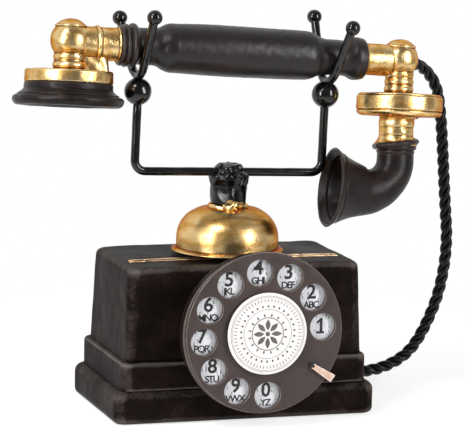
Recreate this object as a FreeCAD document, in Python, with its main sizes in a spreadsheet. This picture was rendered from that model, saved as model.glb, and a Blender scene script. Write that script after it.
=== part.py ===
# Table telephone: a stepped box with a dial on its front, a bell on its top and
# a handset lying in a wire cradle above the bell.
# Millimetres. The origin is the centre of the resting face, +Z is up and the dial faces -Y.

import FreeCAD, Part
import math
import os
import Sketcher
from FreeCAD import Placement, Rotation, Vector

os.makedirs("parts", exist_ok=True)
doc = FreeCAD.newDocument("Telephone")
sheet = doc.addObject("Spreadsheet::Sheet", "Sizes")


# Driving dimensions

box_sizes = dict(
    felt_thickness=1.0, felt_inset=1.2, foot_lift=0.4,
    plinth_width=127.8, plinth_depth=78.4, plinth_height=16.0, plinth_round=4.2,
    plinth_foot_round=2.6, plinth_corner=5.0,
    ledge_step=4.0, ledge_step_front=2.0, ledge_height=13.0, ledge_round=1.6, ledge_corner=4.5,
    body_step=1.7, body_step_front=3.0, body_height=44.4, body_corner=5.0, body_draft=2.0,
    crown_radius=2600.0, crown_round=2.8, shell_wall=3.0,
    base_plate_thickness=2.0, plate_inset=4.65, plate_inset_front=4.5, rebate_play=0.3,
    base_screw_edge=2.0, base_screw_side=8.2, base_screw_radius=1.25, base_screw_head=1.9,
    base_screw_length=11.0, base_screw_head_height=1.1,
    slot_frame_length=103.0, slot_frame_width=5.4, slot_y=-13.5, slot_frame_depth=2.6,
    slot_frame_proud=0.5, slot_frame_corner=0.6, slot_end=2.75, slot_rail=1.4)

line_sizes = dict(
    line_y=-3.0, tube_radius=3.9, plunger_radius=2.5, running_gap=0.05, tube_bottom=49.0,
    tube_in_neck=103.0, tube_flange_radius=7.0, tube_flange_height=2.0,
    gong_radius=26.8, gong_wall=1.4, gong_lift=2.0, gong_top=96.0, gong_shoulder=15.0,
    gong_side=24.4, gong_lip=1.6, gong_lip_rise=0.7, collar_radius=9.6, collar_height=1.7,
    collar_round=0.95, collar_boss_radius=5.2, collar_boss_top=3.8, collar_boss_reach=8.8,
    collar_boss_height=5.0,
    neck_gap=0.4, neck_foot_radius=8.6, neck_waist_radius=8.6, neck_top_radius=9.7,
    neck_foot_height=4.0, neck_flare=14.0, neck_top=110.7, neck_bore_gap=0.3, neck_roof_gap=1.0,
    cap_height=6.5, cap_edge=1.4, cap_shoulder=2.4, cap_shoulder_round=4.2,
    wire_radius=2.05, bar_height=112.7, bar_half=46.5, bar_bend=5.2, cradle_tilt=1.6,
    ball_height=37.6, ball_radius=6.5, wire_seat=3.4,
    fork_angle=30.0, left_fork_radius=8.0, right_fork_radius=10.0, left_fork_rise=7.6,
    right_fork_rise=6.2, left_front_leg=25.5, left_back_leg=21.7, right_front_leg=23.2,
    right_back_leg=24.6, left_fork_turn=7.8, right_fork_turn=5.0, left_fork_lean=-2.3,
    right_fork_lean=5.6, seat_gap=0.2, tip_radius=3.55, tip_seat=0.6)

handset_sizes = dict(
    handset_roll=-7.5, handle_bore=3.0, neck_radius=8.6,
    grip_radius=12.0, grip_end_radius=11.5, left_neck_from=-48.5, left_neck_to=-39.0,
    left_grip_from=-28.5, right_grip_to=35.5, right_neck_from=47.2, right_neck_to=55.5,
    left_flange_radius=10.3, left_flange_end=-55.7, right_flange_radius=10.1,
    right_flange_end=67.6, left_ferrule_radius=7.85, right_ferrule_radius=7.65,
    ferrule_bore=4.5, ferrule_bead=0.45, ferrule_bead_at=-65.9, ferrule_bead_width=2.0,
    receiver_reach=78.5, transmitter_reach=86.0, receiver_ball=9.5, transmitter_ball=8.5,
    ball_lift=0.7, dome_foot=7.0, dome_rise=1.5, elbow_edge=0.45, sleeve_play=0.1,
    receiver_stem_radius=7.8, receiver_disc_radius=20.7, receiver_disc_top=-13.0,
    receiver_disc_height=6.0, ear_cap_radius=26.1,
    ear_cap_height=10.7, ear_hole_circle=7.0, ear_hole_radius=1.1, ear_centre_hole=1.6,
    cup_wall=1.6, diaphragm_thickness=0.4, web_width=10.0,
    magnet_length=18.0, magnet_width=9.0, magnet_gap=0.7,
    web_length=18.0, transmitter_stem_radius=7.2, transmitter_disc_radius=20.8,
    transmitter_disc_top=-15.8, transmitter_disc_height=10.4, disc_groove=0.35,
    disc_lap=1.4, horn_neck_length=14.4, horn_neck_radius=8.8, horn_neck_flare=1.4,
    speech_bore=5.0, ring_height=4.0, ring_radius=10.0,
    horn_offset=1.0, horn_turn=-3.0, horn_start_radius=8.9, horn_mouth_radius=19.2,
    horn_wall=1.8, horn_drop=3.2, horn_bend=15.4, horn_angle=94.5, horn_reach=15.6,
    horn_growth=2.7)

dial_sizes = dict(
    dial_height=45.3, boss_inset=0.2, boss_radius=26.0, dial_hole_radius=21.0,
    case_radius=39.0, case_depth=19.0, case_flare=14.0, case_bulge=22.0, case_wall=1.8,
    case_floor=2.0, case_floor_radius=25.7, case_hole_radius=20.5, case_ledge=2.0,
    plate_radius=37.0, plate_thickness=1.4, plate_recess=1.6,
    wheel_radius=38.1, wheel_thickness=2.2, wheel_gap=0.6, hole_circle=28.8,
    finger_hole_radius=6.2, first_hole_angle=5.0, hole_count=10, hole_pitch=30.0,
    wheel_edge=0.8, card_radius=19.1, card_thickness=1.0, card_edge=0.4, holder_height=1.5,
    holder_radius=18.4, holder_bore=4.4,
    shaft_radius=2.8, stop_angle=-33.0, stop_width=3.4, stop_thickness=1.2, stop_inner=28.2,
    stop_outer=40.9, stop_gap=0.7, stop_depth=12.0, frame_plate_thickness=1.6,
    frame_plate_radius=24.9, frame_rear=-13.8, frame_rear_radius=19.5, bearing_wall=2.2,
    bearing_height=2.0, pillar_radius=1.6, pillar_circle=17.2,
    dial_screw_radius=1.0, dial_screw_circle=23.3, dial_screw_head=1.7,
    dial_screw_head_height=1.2, dial_screw_depth=5.0,
    gear_module=0.5, gear_teeth=40, pinion_teeth=10, gear_thickness=1.6, tooth_play=0.13,
    gear_gap=0.8, governor_angle=50.0, governor_radius=7.0, governor_cup_wall=0.8,
    governor_shaft=0.9, cam_radius=7.5, cam_thickness=1.8, cam_gap=0.6, cam_notch=0.9,
    cam_phase=-20.0, shaft_end_play=1.2, dial_spring_radius=14.0, dial_spring_start=5.4,
    dial_spring_turns=4, dial_spring_strip=0.5, dial_spring_width=3.2, dial_spring_lift=2.4,
    contact_x=-12.0, contact_y=-9.0, contact_length=7.0, contact_width=4.0,
    contact_blade=0.4, contact_blade_length=11.0, contact_blade_gap=2.0)

inside_sizes = dict(
    ringer_y=12.0, coil_x=13.0, coil_radius=6.9, coil_height=21.0, coil_flange=1.0,
    coil_waist=6.1, yoke_height=31.0,
    yoke_thickness=2.0, core_radius=2.5, core_top=57.0, pivot_height=61.0,
    armature_half=18.4, armature_thickness=2.0, armature_gap=1.6, ear_half=4.0,
    ear_thickness=1.5, ear_reach=7.0, ear_top=3.0, ringer_foot_width=20.0,
    ringer_foot_depth=9.0, armature_side_gap=0.5,
    pin_radius=1.0, hub_wall=1.6, clapper_x=10.3, clapper_top=79.0,
    clapper_radius=1.0, clapper_ball=2.8, clapper_hole=3.2,
    foot_radius=6.5, foot_height=40.0, foot_thickness=2.0, seat_height=24.0,
    seat_width=9.0, spring_outer=3.6, spring_inner=2.8, lever_pivot_x=22.0, lever_height=34.0,
    lever_tail=9.0, lever_thickness=1.5, lever_width=4.0, lever_gap=0.15, lever_ear_gap=0.6,
    lever_ear_width=5.0, lever_ear_thickness=1.2, bracket_thickness=1.5,
    bracket_length=44.0, bracket_width=12.0, bracket_x=14.0,
    switch_x=31.0, switch_length=8.0, switch_width=7.0, switch_height=5.0,
    blade_thickness=0.4, blade_width=5.0, blade_height=20.0, blade_pitch=2.2,
    induction_gap=9.2, induction_y=14.0, induction_length=28.0, induction_radius=8.0,
    induction_waist=6.9, induction_flange=1.4,
    capacitor_gap=7.2, capacitor_y=-16.0, capacitor_length=24.0, capacitor_width=14.0,
    capacitor_height=20.0, capacitor_corner=2.0,
    board_gap=5.2, board_back=22.2, board_length=28.0, board_width=16.0, board_thickness=2.4,
    board_lift=4.0, board_leg_x=11.0, board_leg_width=3.0, board_leg_depth=12.0,
    terminal_pitch=9.0, terminal_row=5.0, terminal_hole=1.0,
    cord_radius=2.9, cord_side_y=18.0, cord_side_z=8.0, base_bush_radius=4.2,
    base_bush_flange=1.0, base_bush_proud=2.2, handset_bush_reach=10.4,
    handset_bush_length=4.6, handset_bush_wide=1.7, handset_bush_narrow=0.5,
    line_bore=2.6, line_bush_radius=4.6, line_bush_flange=1.2, line_bush_proud=1.5,
    line_cord_x=-25.0, line_cord_z=9.8)


class Size:
    """A length, angle or count: its number, and the sheet expression that gives it."""

    def __init__(self, number, text):
        self.number = float(number)
        self.text = text

    def __add__(self, other):
        return Size(self.number + number(other), "(%s + %s)" % (self.text, text(other)))

    def __radd__(self, other):
        return Size(number(other) + self.number, "(%s + %s)" % (text(other), self.text))

    def __sub__(self, other):
        return Size(self.number - number(other), "(%s - %s)" % (self.text, text(other)))

    def __rsub__(self, other):
        return Size(number(other) - self.number, "(%s - %s)" % (text(other), self.text))

    def __mul__(self, other):
        return Size(self.number * number(other), "(%s * %s)" % (self.text, text(other)))

    def __rmul__(self, other):
        return self * other

    def __truediv__(self, other):
        return Size(self.number / number(other), "(%s / %s)" % (self.text, text(other)))

    def __rtruediv__(self, other):
        return Size(number(other) / self.number, "(%s / %s)" % (text(other), self.text))

    def __neg__(self):
        return Size(-self.number, "(-1 * %s)" % self.text)


def number(value):
    return value.number if isinstance(value, Size) else float(value)


def text(value):
    return value.text if isinstance(value, Size) else "%.9g" % value


def cosine(angle):
    return Size(math.cos(math.radians(number(angle))), "cos(%s)" % text(angle))


def sine(angle):
    return Size(math.sin(math.radians(number(angle))), "sin(%s)" % text(angle))


def tangent(angle):
    return Size(math.tan(math.radians(number(angle))), "tan(%s)" % text(angle))


def root(value):
    return Size(math.sqrt(number(value)), "sqrt(%s)" % text(value))


def dome_radius(reach, rise):
    """Radius of the arc centred on the axis that climbs by rise over its reach."""
    return (reach * reach + rise * rise) / (2 * rise)


class SizeTable:
    """Every driving dimension, by its name in the sheet."""

    def __init__(self, groups):
        row = 0
        for group in groups:
            for name, value in group.items():
                row += 1
                sheet.set("A%d" % row, name)
                sheet.set("B%d" % row, "%.9g" % value)
                sheet.setAlias("B%d" % row, name)
                setattr(self, name, Size(value, "Sizes." + name))


S = SizeTable([box_sizes, line_sizes, handset_sizes, dial_sizes, inside_sizes])
doc.recompute()


class Frame:
    """A placement, and the sheet expression that gives it."""

    def __init__(self, value, words):
        self.value = value
        self.words = words

    def moved(self, x=0, y=0, z=0, axis=(0, 0, 1), angle=0):
        step = Placement(Vector(number(x), number(y), number(z)),
                         Rotation(Vector(*axis), number(angle)))
        words = "placement(vector(%s; %s; %s); rotation(vector(%g; %g; %g); %s))" % (
            (text(x), text(y), text(z)) + tuple(axis) + (text(angle),))
        return Frame(self.value.multiply(step), (self.words + " * " if self.words else "") + words)

    def point(self, x=0, y=0, z=0):
        return self.value.multVec(Vector(number(x), number(y), number(z)))


world = Frame(Placement(), "")
along_x = dict(axis=(0, 1, 0), angle=90)
facing_front = dict(axis=(1, 0, 0), angle=90)
facing_back = dict(axis=(1, 0, 0), angle=-90)

nodes = {}


def keep(label, item):
    """Names the finished sub-part; its label is its file's name."""
    item.Label = label
    nodes[label] = item
    return item


def place(item, frame):
    if frame.words:
        item.setExpression("Placement", frame.words)
    return item


def bind(item, **sizes):
    for key, value in sizes.items():
        if isinstance(value, Size):
            item.setExpression(key, value.text)
        else:
            setattr(item, key, value)
    return item


def box(name, x, y, z, frame=world):
    """Box centred on its frame in X and Y, standing on the frame's Z."""
    item = bind(doc.addObject("Part::Box", name), Length=x, Width=y, Height=z)
    return place(item, frame.moved(-x / 2, -y / 2, 0))


def cylinder(name, radius, height, frame=world):
    item = bind(doc.addObject("Part::Cylinder", name), Radius=radius, Height=height)
    return place(item, frame)


def cone(name, radius, top_radius, height, frame=world):
    item = bind(doc.addObject("Part::Cone", name), Radius1=radius, Radius2=top_radius,
                Height=height)
    return place(item, frame)


def sphere(name, radius, frame=world):
    return place(bind(doc.addObject("Part::Sphere", name), Radius=radius), frame)


def fuse(name, *items):
    item = doc.addObject("Part::MultiFuse", name)
    item.Shapes = list(items)
    return item


def cut(name, base, *tools):
    item = doc.addObject("Part::Cut", name)
    item.Base = base
    item.Tool = tools[0] if len(tools) == 1 else fuse(name + "_tools", *tools)
    return item


def common(name, base, tool):
    item = doc.addObject("Part::Common", name)
    item.Base = base
    item.Tool = tool
    return item


def group(name, *items):
    item = doc.addObject("Part::Compound", name)
    item.Links = list(items)
    return item


def rounded(name, base, choices):
    """Fillets the edges of base whose middle point meets a test: pairs of test and radius."""
    doc.recompute()
    edges = []
    for test, radius in choices:
        for index, edge in enumerate(base.Shape.Edges):
            middle = edge.valueAt((edge.FirstParameter + edge.LastParameter) / 2)
            if test(middle):
                edges.append((index + 1, number(radius), number(radius)))
    item = doc.addObject("Part::Fillet", name)
    item.Base = base
    item.Edges = edges
    return item


def draw_outline(sketch, points):
    """Closed outline. A third value at a point makes the edge that ends there an arc of
    that radius, its centre to the left of the way travelled, or to the right if negative."""
    count = len(points)
    flat = [(number(p[0]), number(p[1])) for p in points]
    ends = []
    for index in range(count):
        start, end = flat[index], flat[(index + 1) % count]
        target = points[(index + 1) % count]
        if len(target) < 3:
            geometry = Part.LineSegment(Vector(start[0], start[1], 0), Vector(end[0], end[1], 0))
            ends.append((1, 2))
        else:
            turn = number(target[2])
            chord = Vector(end[0] - start[0], end[1] - start[1], 0)
            rise = math.sqrt(max(turn * turn - chord.Length ** 2 / 4, 0.0))
            side = Vector(-chord.y, chord.x, 0).normalize() * math.copysign(rise, turn)
            centre = Vector(start[0], start[1], 0) + chord / 2 + side
            angles = [math.atan2(p[1] - centre.y, p[0] - centre.x) for p in (start, end)]
            if turn < 0:
                angles.reverse()
            circle = Part.Circle(centre, Vector(0, 0, 1), abs(turn))
            geometry = Part.ArcOfCircle(circle, angles[0], angles[1])
            ends.append((1, 2) if turn > 0 else (2, 1))
        sketch.addGeometry(geometry, False)
    for index in range(count):
        after = (index + 1) % count
        sketch.addConstraint(Sketcher.Constraint("Coincident", index, ends[index][1],
                                                 after, ends[after][0]))
    for index, point in enumerate(points):
        for kind, axis, value, along in (("DistanceX", -2, point[0], flat[index][0]),
                                         ("DistanceY", -1, point[1], flat[index][1])):
            if abs(along) < 1e-9:
                rule = Sketcher.Constraint("PointOnObject", index, ends[index][0], axis)
                sketch.addConstraint(rule)
                continue
            rule = Sketcher.Constraint(kind, -1, 1, index, ends[index][0], along)
            place_in_list = sketch.addConstraint(rule)
            if isinstance(value, Size):
                sketch.setExpression("Constraints[%d]" % place_in_list, value.text)
        if len(point) > 2:
            edge = (index - 1) % count
            rule = Sketcher.Constraint("Radius", edge, abs(number(point[2])))
            place_in_list = sketch.addConstraint(rule)
            if isinstance(point[2], Size):
                size = point[2] if number(point[2]) > 0 else -point[2]
                sketch.setExpression("Constraints[%d]" % place_in_list, size.text)


def draw_circles(sketch, circles):
    """Circles given as x, y and radius."""
    for x, y, radius in circles:
        index = sketch.addGeometry(Part.Circle(Vector(number(x), number(y), 0),
                                               Vector(0, 0, 1), number(radius)), False)
        rules = [("Radius", (index, number(radius)), radius)]
        for kind, axis, value in (("DistanceX", -2, x), ("DistanceY", -1, y)):
            if abs(number(value)) < 1e-9:
                sketch.addConstraint(Sketcher.Constraint("PointOnObject", index, 3, axis))
            else:
                rules.append((kind, (-1, 1, index, 3, number(value)), value))
        for kind, numbers, value in rules:
            place_in_list = sketch.addConstraint(Sketcher.Constraint(kind, *numbers))
            if isinstance(value, Size):
                sketch.setExpression("Constraints[%d]" % place_in_list, value.text)


def new_sketch(body, name, plane, offset=0):
    sketch = body.newObject("Sketcher::SketchObject", name)
    side = [item for item in body.Origin.OriginFeatures if item.Role == plane][0]
    sketch.AttachmentSupport = [(side, "")]
    sketch.MapMode = "FlatFace"
    if isinstance(offset, Size):
        sketch.setExpression("AttachmentOffset.Base.z", offset.text)
    elif offset:
        sketch.AttachmentOffset = Placement(Vector(0, 0, offset), Rotation())
    return sketch


def turned(name, points, frame=world):
    """Body turned about its own Z from an outline of radius and height."""
    body = doc.addObject("PartDesign::Body", name)
    sketch = new_sketch(body, name + "_outline", "XZ_Plane")
    draw_outline(sketch, points)
    turn = body.newObject("PartDesign::Revolution", name + "_turn")
    turn.Profile = sketch
    turn.ReferenceAxis = (sketch, ["V_Axis"])
    turn.Angle = 360
    return place(body, frame)


def plate(name, points, thickness, frame=world, draft=0):
    """Body padded up from its own XY plane."""
    body = doc.addObject("PartDesign::Body", name)
    sketch = new_sketch(body, name + "_outline", "XY_Plane")
    draw_outline(sketch, points)
    pad = body.newObject("PartDesign::Pad", name + "_pad")
    pad.Profile = sketch
    bind(pad, Length=thickness)
    if draft:
        bind(pad, TaperAngle=-draft)
    return place(body, frame)


def drill(body, name, circles, copies=0, span=0):
    """Round holes along the body's Z, right through; repeated round its axis if asked."""
    doc.recompute()
    before = body.Shape.Volume
    sketch = new_sketch(body, name + "_sketch", "XY_Plane")
    draw_circles(sketch, circles)
    pocket = body.newObject("PartDesign::Pocket", name)
    pocket.Profile = sketch
    pocket.Type = "ThroughAll"
    pocket.SideType = "Symmetric"
    if copies:
        repeat(body, pocket, sketch, copies, span)
    doc.recompute()
    if body.Shape.Volume >= before:
        raise ValueError(name + " cuts nothing")


def repeat(body, feature, sketch, copies, span):
    pattern = body.newObject("PartDesign::PolarPattern", feature.Name + "_pattern")
    pattern.Originals = [feature]
    pattern.Axis = (sketch, ["N_Axis"])
    bind(pattern, Angle=span, Occurrences=copies)
    body.Tip = pattern


def soft_rectangle(width, depth, corner):
    """Rectangle centred on the origin with round corners."""
    x, y = width / 2, depth / 2
    return [(corner - x, -y, corner), (x - corner, -y), (x, corner - y, corner),
            (x, y - corner), (x - corner, y, corner), (corner - x, y), (-x, y - corner, corner),
            (-x, corner - y)]


def soft_plate(name, width, depth, corner, height, frame=world, draft=0):
    return plate(name, soft_rectangle(width, depth, corner), height, frame, draft)


def tube_path(points, share=0.45):
    """Straight runs joined by tangent arcs; returns the wire, its length and its radii."""
    edges, radii, length = [], [], 0.0
    start = points[0]
    for before, corner, after in zip(points, points[1:], points[2:]):
        back, ahead = before - corner, after - corner
        turn = math.pi - back.getAngle(ahead)
        reach = share * min(back.Length, ahead.Length)
        radii.append(reach / math.tan(turn / 2))
        first = corner + back.normalize() * reach
        last = corner + ahead.normalize() * reach
        inward = (back + ahead).normalize()
        middle = corner + inward * (radii[-1] / math.cos(turn / 2) - radii[-1])
        edges.append(Part.LineSegment(start, first).toShape())
        edges.append(Part.Arc(first, middle, last).toShape())
        length += (first - start).Length + radii[-1] * turn
        start = last
    edges.append(Part.LineSegment(start, points[-1]).toShape())
    length += (points[-1] - start).Length
    return Part.Wire(edges), length, radii


def swept(name, wire, radius, start, heading):
    """Round tube along a wire."""
    section = Part.Wire([Part.Circle(start, heading, radius).toShape()])
    item = doc.addObject("Part::Feature", name)
    item.Shape = wire.makePipeShell([section], True, False)
    return item


# Levels and places that several pieces share

box_bottom = S.foot_lift
plinth_top = S.plinth_height
ledge_top = plinth_top + S.ledge_height
box_top = ledge_top + S.body_height
inner_top = box_top - S.shell_wall
floor_level = S.felt_thickness + S.base_plate_thickness
ledge_width = S.plinth_width - 2 * S.ledge_step
ledge_depth = S.plinth_depth - 2 * S.ledge_step_front
body_width = ledge_width - 2 * S.body_step
body_depth = ledge_depth - 2 * S.body_step_front
cavity_width = body_width - 2 * S.shell_wall
cavity_depth = body_depth - 2 * S.shell_wall
plate_width = S.plinth_width - 2 * S.plate_inset
plate_depth = S.plinth_depth - 2 * S.plate_inset_front
slot_length = S.slot_frame_length - 2 * S.slot_end
slot_width = S.slot_frame_width - 2 * S.slot_rail

boss_face = S.plinth_depth / 2 - S.boss_inset

line = world.moved(y=S.line_y)
crown_centre = world.moved(z=box_top - S.crown_radius).moved(**facing_front)
dial = world.moved(y=-boss_face, z=S.dial_height).moved(**facing_front)
cradle = line.moved(z=S.bar_height).moved(axis=(0, 1, 0), angle=S.cradle_tilt)

wheel_back = S.case_depth + S.wheel_gap
wheel_front = wheel_back + S.wheel_thickness
frame_front = S.case_floor
frame_front_top = frame_front + S.frame_plate_thickness
frame_rear_back = S.frame_rear - S.frame_plate_thickness

gear_low = frame_front - S.gear_gap - S.gear_thickness
cam_top = gear_low - S.cam_gap
cam_low = cam_top - S.cam_thickness
cup_top = cam_low - S.gear_gap
gear_radius = S.gear_module * S.gear_teeth / 2
pinion_radius = S.gear_module * S.pinion_teeth / 2
governor_reach = gear_radius + pinion_radius
governor = dial.moved(axis=(0, 0, 1), angle=S.governor_angle).moved(x=governor_reach)

clapper = world.moved(x=S.clapper_x, y=S.ringer_y)


# Housing

def make_housing():
    foot = soft_plate("plinth_block", S.plinth_width, S.plinth_depth, S.plinth_corner,
                      plinth_top - box_bottom, world.moved(z=box_bottom))
    top, bottom = number(plinth_top), number(box_bottom)
    foot = rounded("plinth_soft", foot, [(lambda p: abs(p.z - top) < 0.01, S.plinth_round),
                                         (lambda p: abs(p.z - bottom) < 0.01,
                                          S.plinth_foot_round)])
    ledge = soft_plate("ledge_block", ledge_width, ledge_depth, S.ledge_corner,
                       ledge_top - box_bottom - 2, world.moved(z=box_bottom + 2))
    shelf = number(ledge_top)
    ledge = rounded("ledge_soft", ledge, [(lambda p: abs(p.z - shelf) < 0.01, S.ledge_round)])
    case = soft_plate("body_block", body_width, body_depth, S.body_corner,
                      S.body_height + 5, world.moved(z=ledge_top), draft=S.body_draft)
    crown = sphere("crown", S.crown_radius, crown_centre)
    case = common("body_crowned", case, crown)
    near_top = number(box_top) - 4
    case = rounded("body_soft", case, [(lambda p: p.z > near_top, S.crown_round)])
    boss_depth = boss_face - cavity_depth / 2 + S.shell_wall / 2
    boss = cylinder("dial_boss", S.boss_radius, boss_depth, dial.moved(z=-boss_depth))
    solid = fuse("housing_solid", foot, ledge, case, boss)

    cavity = soft_plate("cavity", cavity_width, cavity_depth, S.body_corner / 2,
                        inner_top - box_bottom + 1, world.moved(z=box_bottom - 1),
                        draft=S.body_draft)
    rebate = soft_plate("rebate", plate_width + 2 * S.rebate_play,
                        plate_depth + 2 * S.rebate_play, S.body_corner,
                        floor_level - box_bottom + 1, world.moved(z=box_bottom - 1))
    dial_hole = cylinder("dial_hole", S.dial_hole_radius, boss_face,
                         dial.moved(z=1 - boss_face))
    tube_hole = cylinder("tube_hole", S.tube_radius, S.shell_wall * 4,
                         line.moved(z=inner_top - S.shell_wall))
    clapper_way = cylinder("clapper_way", S.clapper_hole, S.shell_wall * 4,
                           clapper.moved(z=inner_top - S.shell_wall))
    slot = soft_plate("slot_way", S.slot_frame_length, S.slot_frame_width,
                      S.slot_frame_corner, S.shell_wall * 3,
                      world.moved(y=S.slot_y, z=box_top - S.slot_frame_depth))
    slot_through = box("slot_through", slot_length, slot_width, S.shell_wall * 4,
                       world.moved(y=S.slot_y, z=inner_top - S.shell_wall))
    wall_depth = (S.plinth_width - cavity_width) / 2
    cord_way = cylinder("cord_way", S.base_bush_radius, wall_depth * 2,
                        world.moved(x=cavity_width / 2 - wall_depth / 2, y=S.cord_side_y,
                                    z=S.cord_side_z).moved(**along_x))
    line_way = cylinder("line_way", S.line_bush_radius, wall_depth * 2,
                        world.moved(x=S.line_cord_x, y=cavity_depth / 2 - wall_depth / 2,
                                    z=S.line_cord_z).moved(**facing_back))
    ways = [cavity, rebate, dial_hole, tube_hole, clapper_way, slot, slot_through, cord_way,
            line_way]
    ways += screw_shanks("screw_way", S.base_screw_radius)
    ways += dial_screw_shanks("dial_screw_way", S.dial_screw_radius)
    return keep("housing_shell", cut("housing", solid, *ways))


def screw_places():
    reach_x, reach_y = plate_width / 2 - S.base_screw_edge, plate_depth / 2 - S.base_screw_side
    return [(x * reach_x, y * reach_y) for x in (-1, 1) for y in (-1, 1)]


def screw_shanks(name, radius):
    return [cylinder("%s_%d" % (name, index), radius, S.base_screw_length,
                     world.moved(x=x, y=y, z=S.felt_thickness + S.base_screw_head_height))
            for index, (x, y) in enumerate(screw_places())]


def screw_heads(name, radius):
    return [cylinder("%s_%d" % (name, index), radius, S.base_screw_head_height,
                     world.moved(x=x, y=y, z=S.felt_thickness))
            for index, (x, y) in enumerate(screw_places())]


def make_bottom():
    plate_solid = soft_plate("bottom_plate", plate_width, plate_depth,
                             S.body_corner - S.rebate_play, S.base_plate_thickness,
                             world.moved(z=S.felt_thickness))
    ways = screw_shanks("plate_way", S.base_screw_radius) + screw_heads("plate_sink",
                                                                        S.base_screw_head)
    keep("base_plate", cut("bottom_plate_drilled", plate_solid, *ways))
    keep("felt_pad", soft_plate("felt", plate_width - 2 * S.felt_inset,
                                plate_depth - 2 * S.felt_inset, S.body_corner,
                                S.felt_thickness))
    shanks = screw_shanks("screw_shank", S.base_screw_radius)
    heads = screw_heads("screw_head", S.base_screw_head)
    screws = [fuse("base_screw_%d" % index, shank, head)
              for index, (shank, head) in enumerate(zip(shanks, heads))]
    keep("base_screws", group("screw_set", *screws))


def make_slot_frame():
    frame = world.moved(y=S.slot_y, z=box_top - S.slot_frame_depth)
    bar = soft_plate("slot_bar", S.slot_frame_length, S.slot_frame_width,
                     S.slot_frame_corner, S.shell_wall * 2, frame)
    crown = sphere("slot_crown", S.crown_radius + S.slot_frame_proud, crown_centre)
    way = box("slot_gap", slot_length, slot_width, S.shell_wall * 4, frame.moved(z=-1))
    keep("slot_frame", cut("slot_frame_cut", common("slot_frame_crowned", bar, crown), way))


# Bell and the tube that carries it

def make_bell():
    wall, rim = S.gong_wall, box_top + S.gong_lift
    shoulder = S.gong_top - S.gong_shoulder
    crown_edge = S.gong_side - S.gong_shoulder
    lip_top, lip_rise = rim + S.gong_lip, S.gong_lip_rise
    keep("bell_gong", turned("gong", [
        (S.tube_radius, S.gong_top - wall), (S.tube_radius, S.gong_top),
        (crown_edge, S.gong_top), (S.gong_side, shoulder, -S.gong_shoulder),
        (S.gong_side, lip_top), (S.gong_radius - lip_rise / 2, rim + lip_rise),
        (S.gong_radius, rim, -lip_rise), (S.gong_radius - S.gong_lip, rim),
        (S.gong_side - wall, lip_top), (S.gong_side - wall, shoulder),
        (crown_edge, S.gong_top - wall, S.gong_shoulder - wall)], line))
    top = S.gong_top + S.collar_height
    ring = turned("collar_ring", [
        (S.tube_radius, S.gong_top), (S.collar_radius, S.gong_top),
        (S.collar_radius, top - S.collar_height / 2),
        (S.collar_radius - S.collar_height / 2, top, S.collar_round), (S.tube_radius, top)], line)
    boss = cone("collar_boss", S.collar_boss_radius, S.collar_boss_top, S.collar_boss_height,
                line.moved(y=-S.collar_boss_reach, z=top).moved(**facing_front))
    gong_room = turned("boss_room", [
        (0, shoulder), (S.gong_side, shoulder), (crown_edge, S.gong_top, S.gong_shoulder),
        (0, S.gong_top)], line)
    keep("bell_collar", cut("collar_cut", fuse("collar_whole", ring, boss), gong_room))
    flange, flange_low = S.tube_flange_radius, inner_top - S.tube_flange_height
    bore = S.plunger_radius + S.running_gap
    keep("guide_tube", turned("tube", [
        (bore, S.tube_bottom), (S.tube_radius, S.tube_bottom), (S.tube_radius, flange_low),
        (flange, flange_low), (flange, inner_top), (S.tube_radius, inner_top),
        (S.tube_radius, S.tube_in_neck), (bore, S.tube_in_neck)], line))


# Cradle

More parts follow.
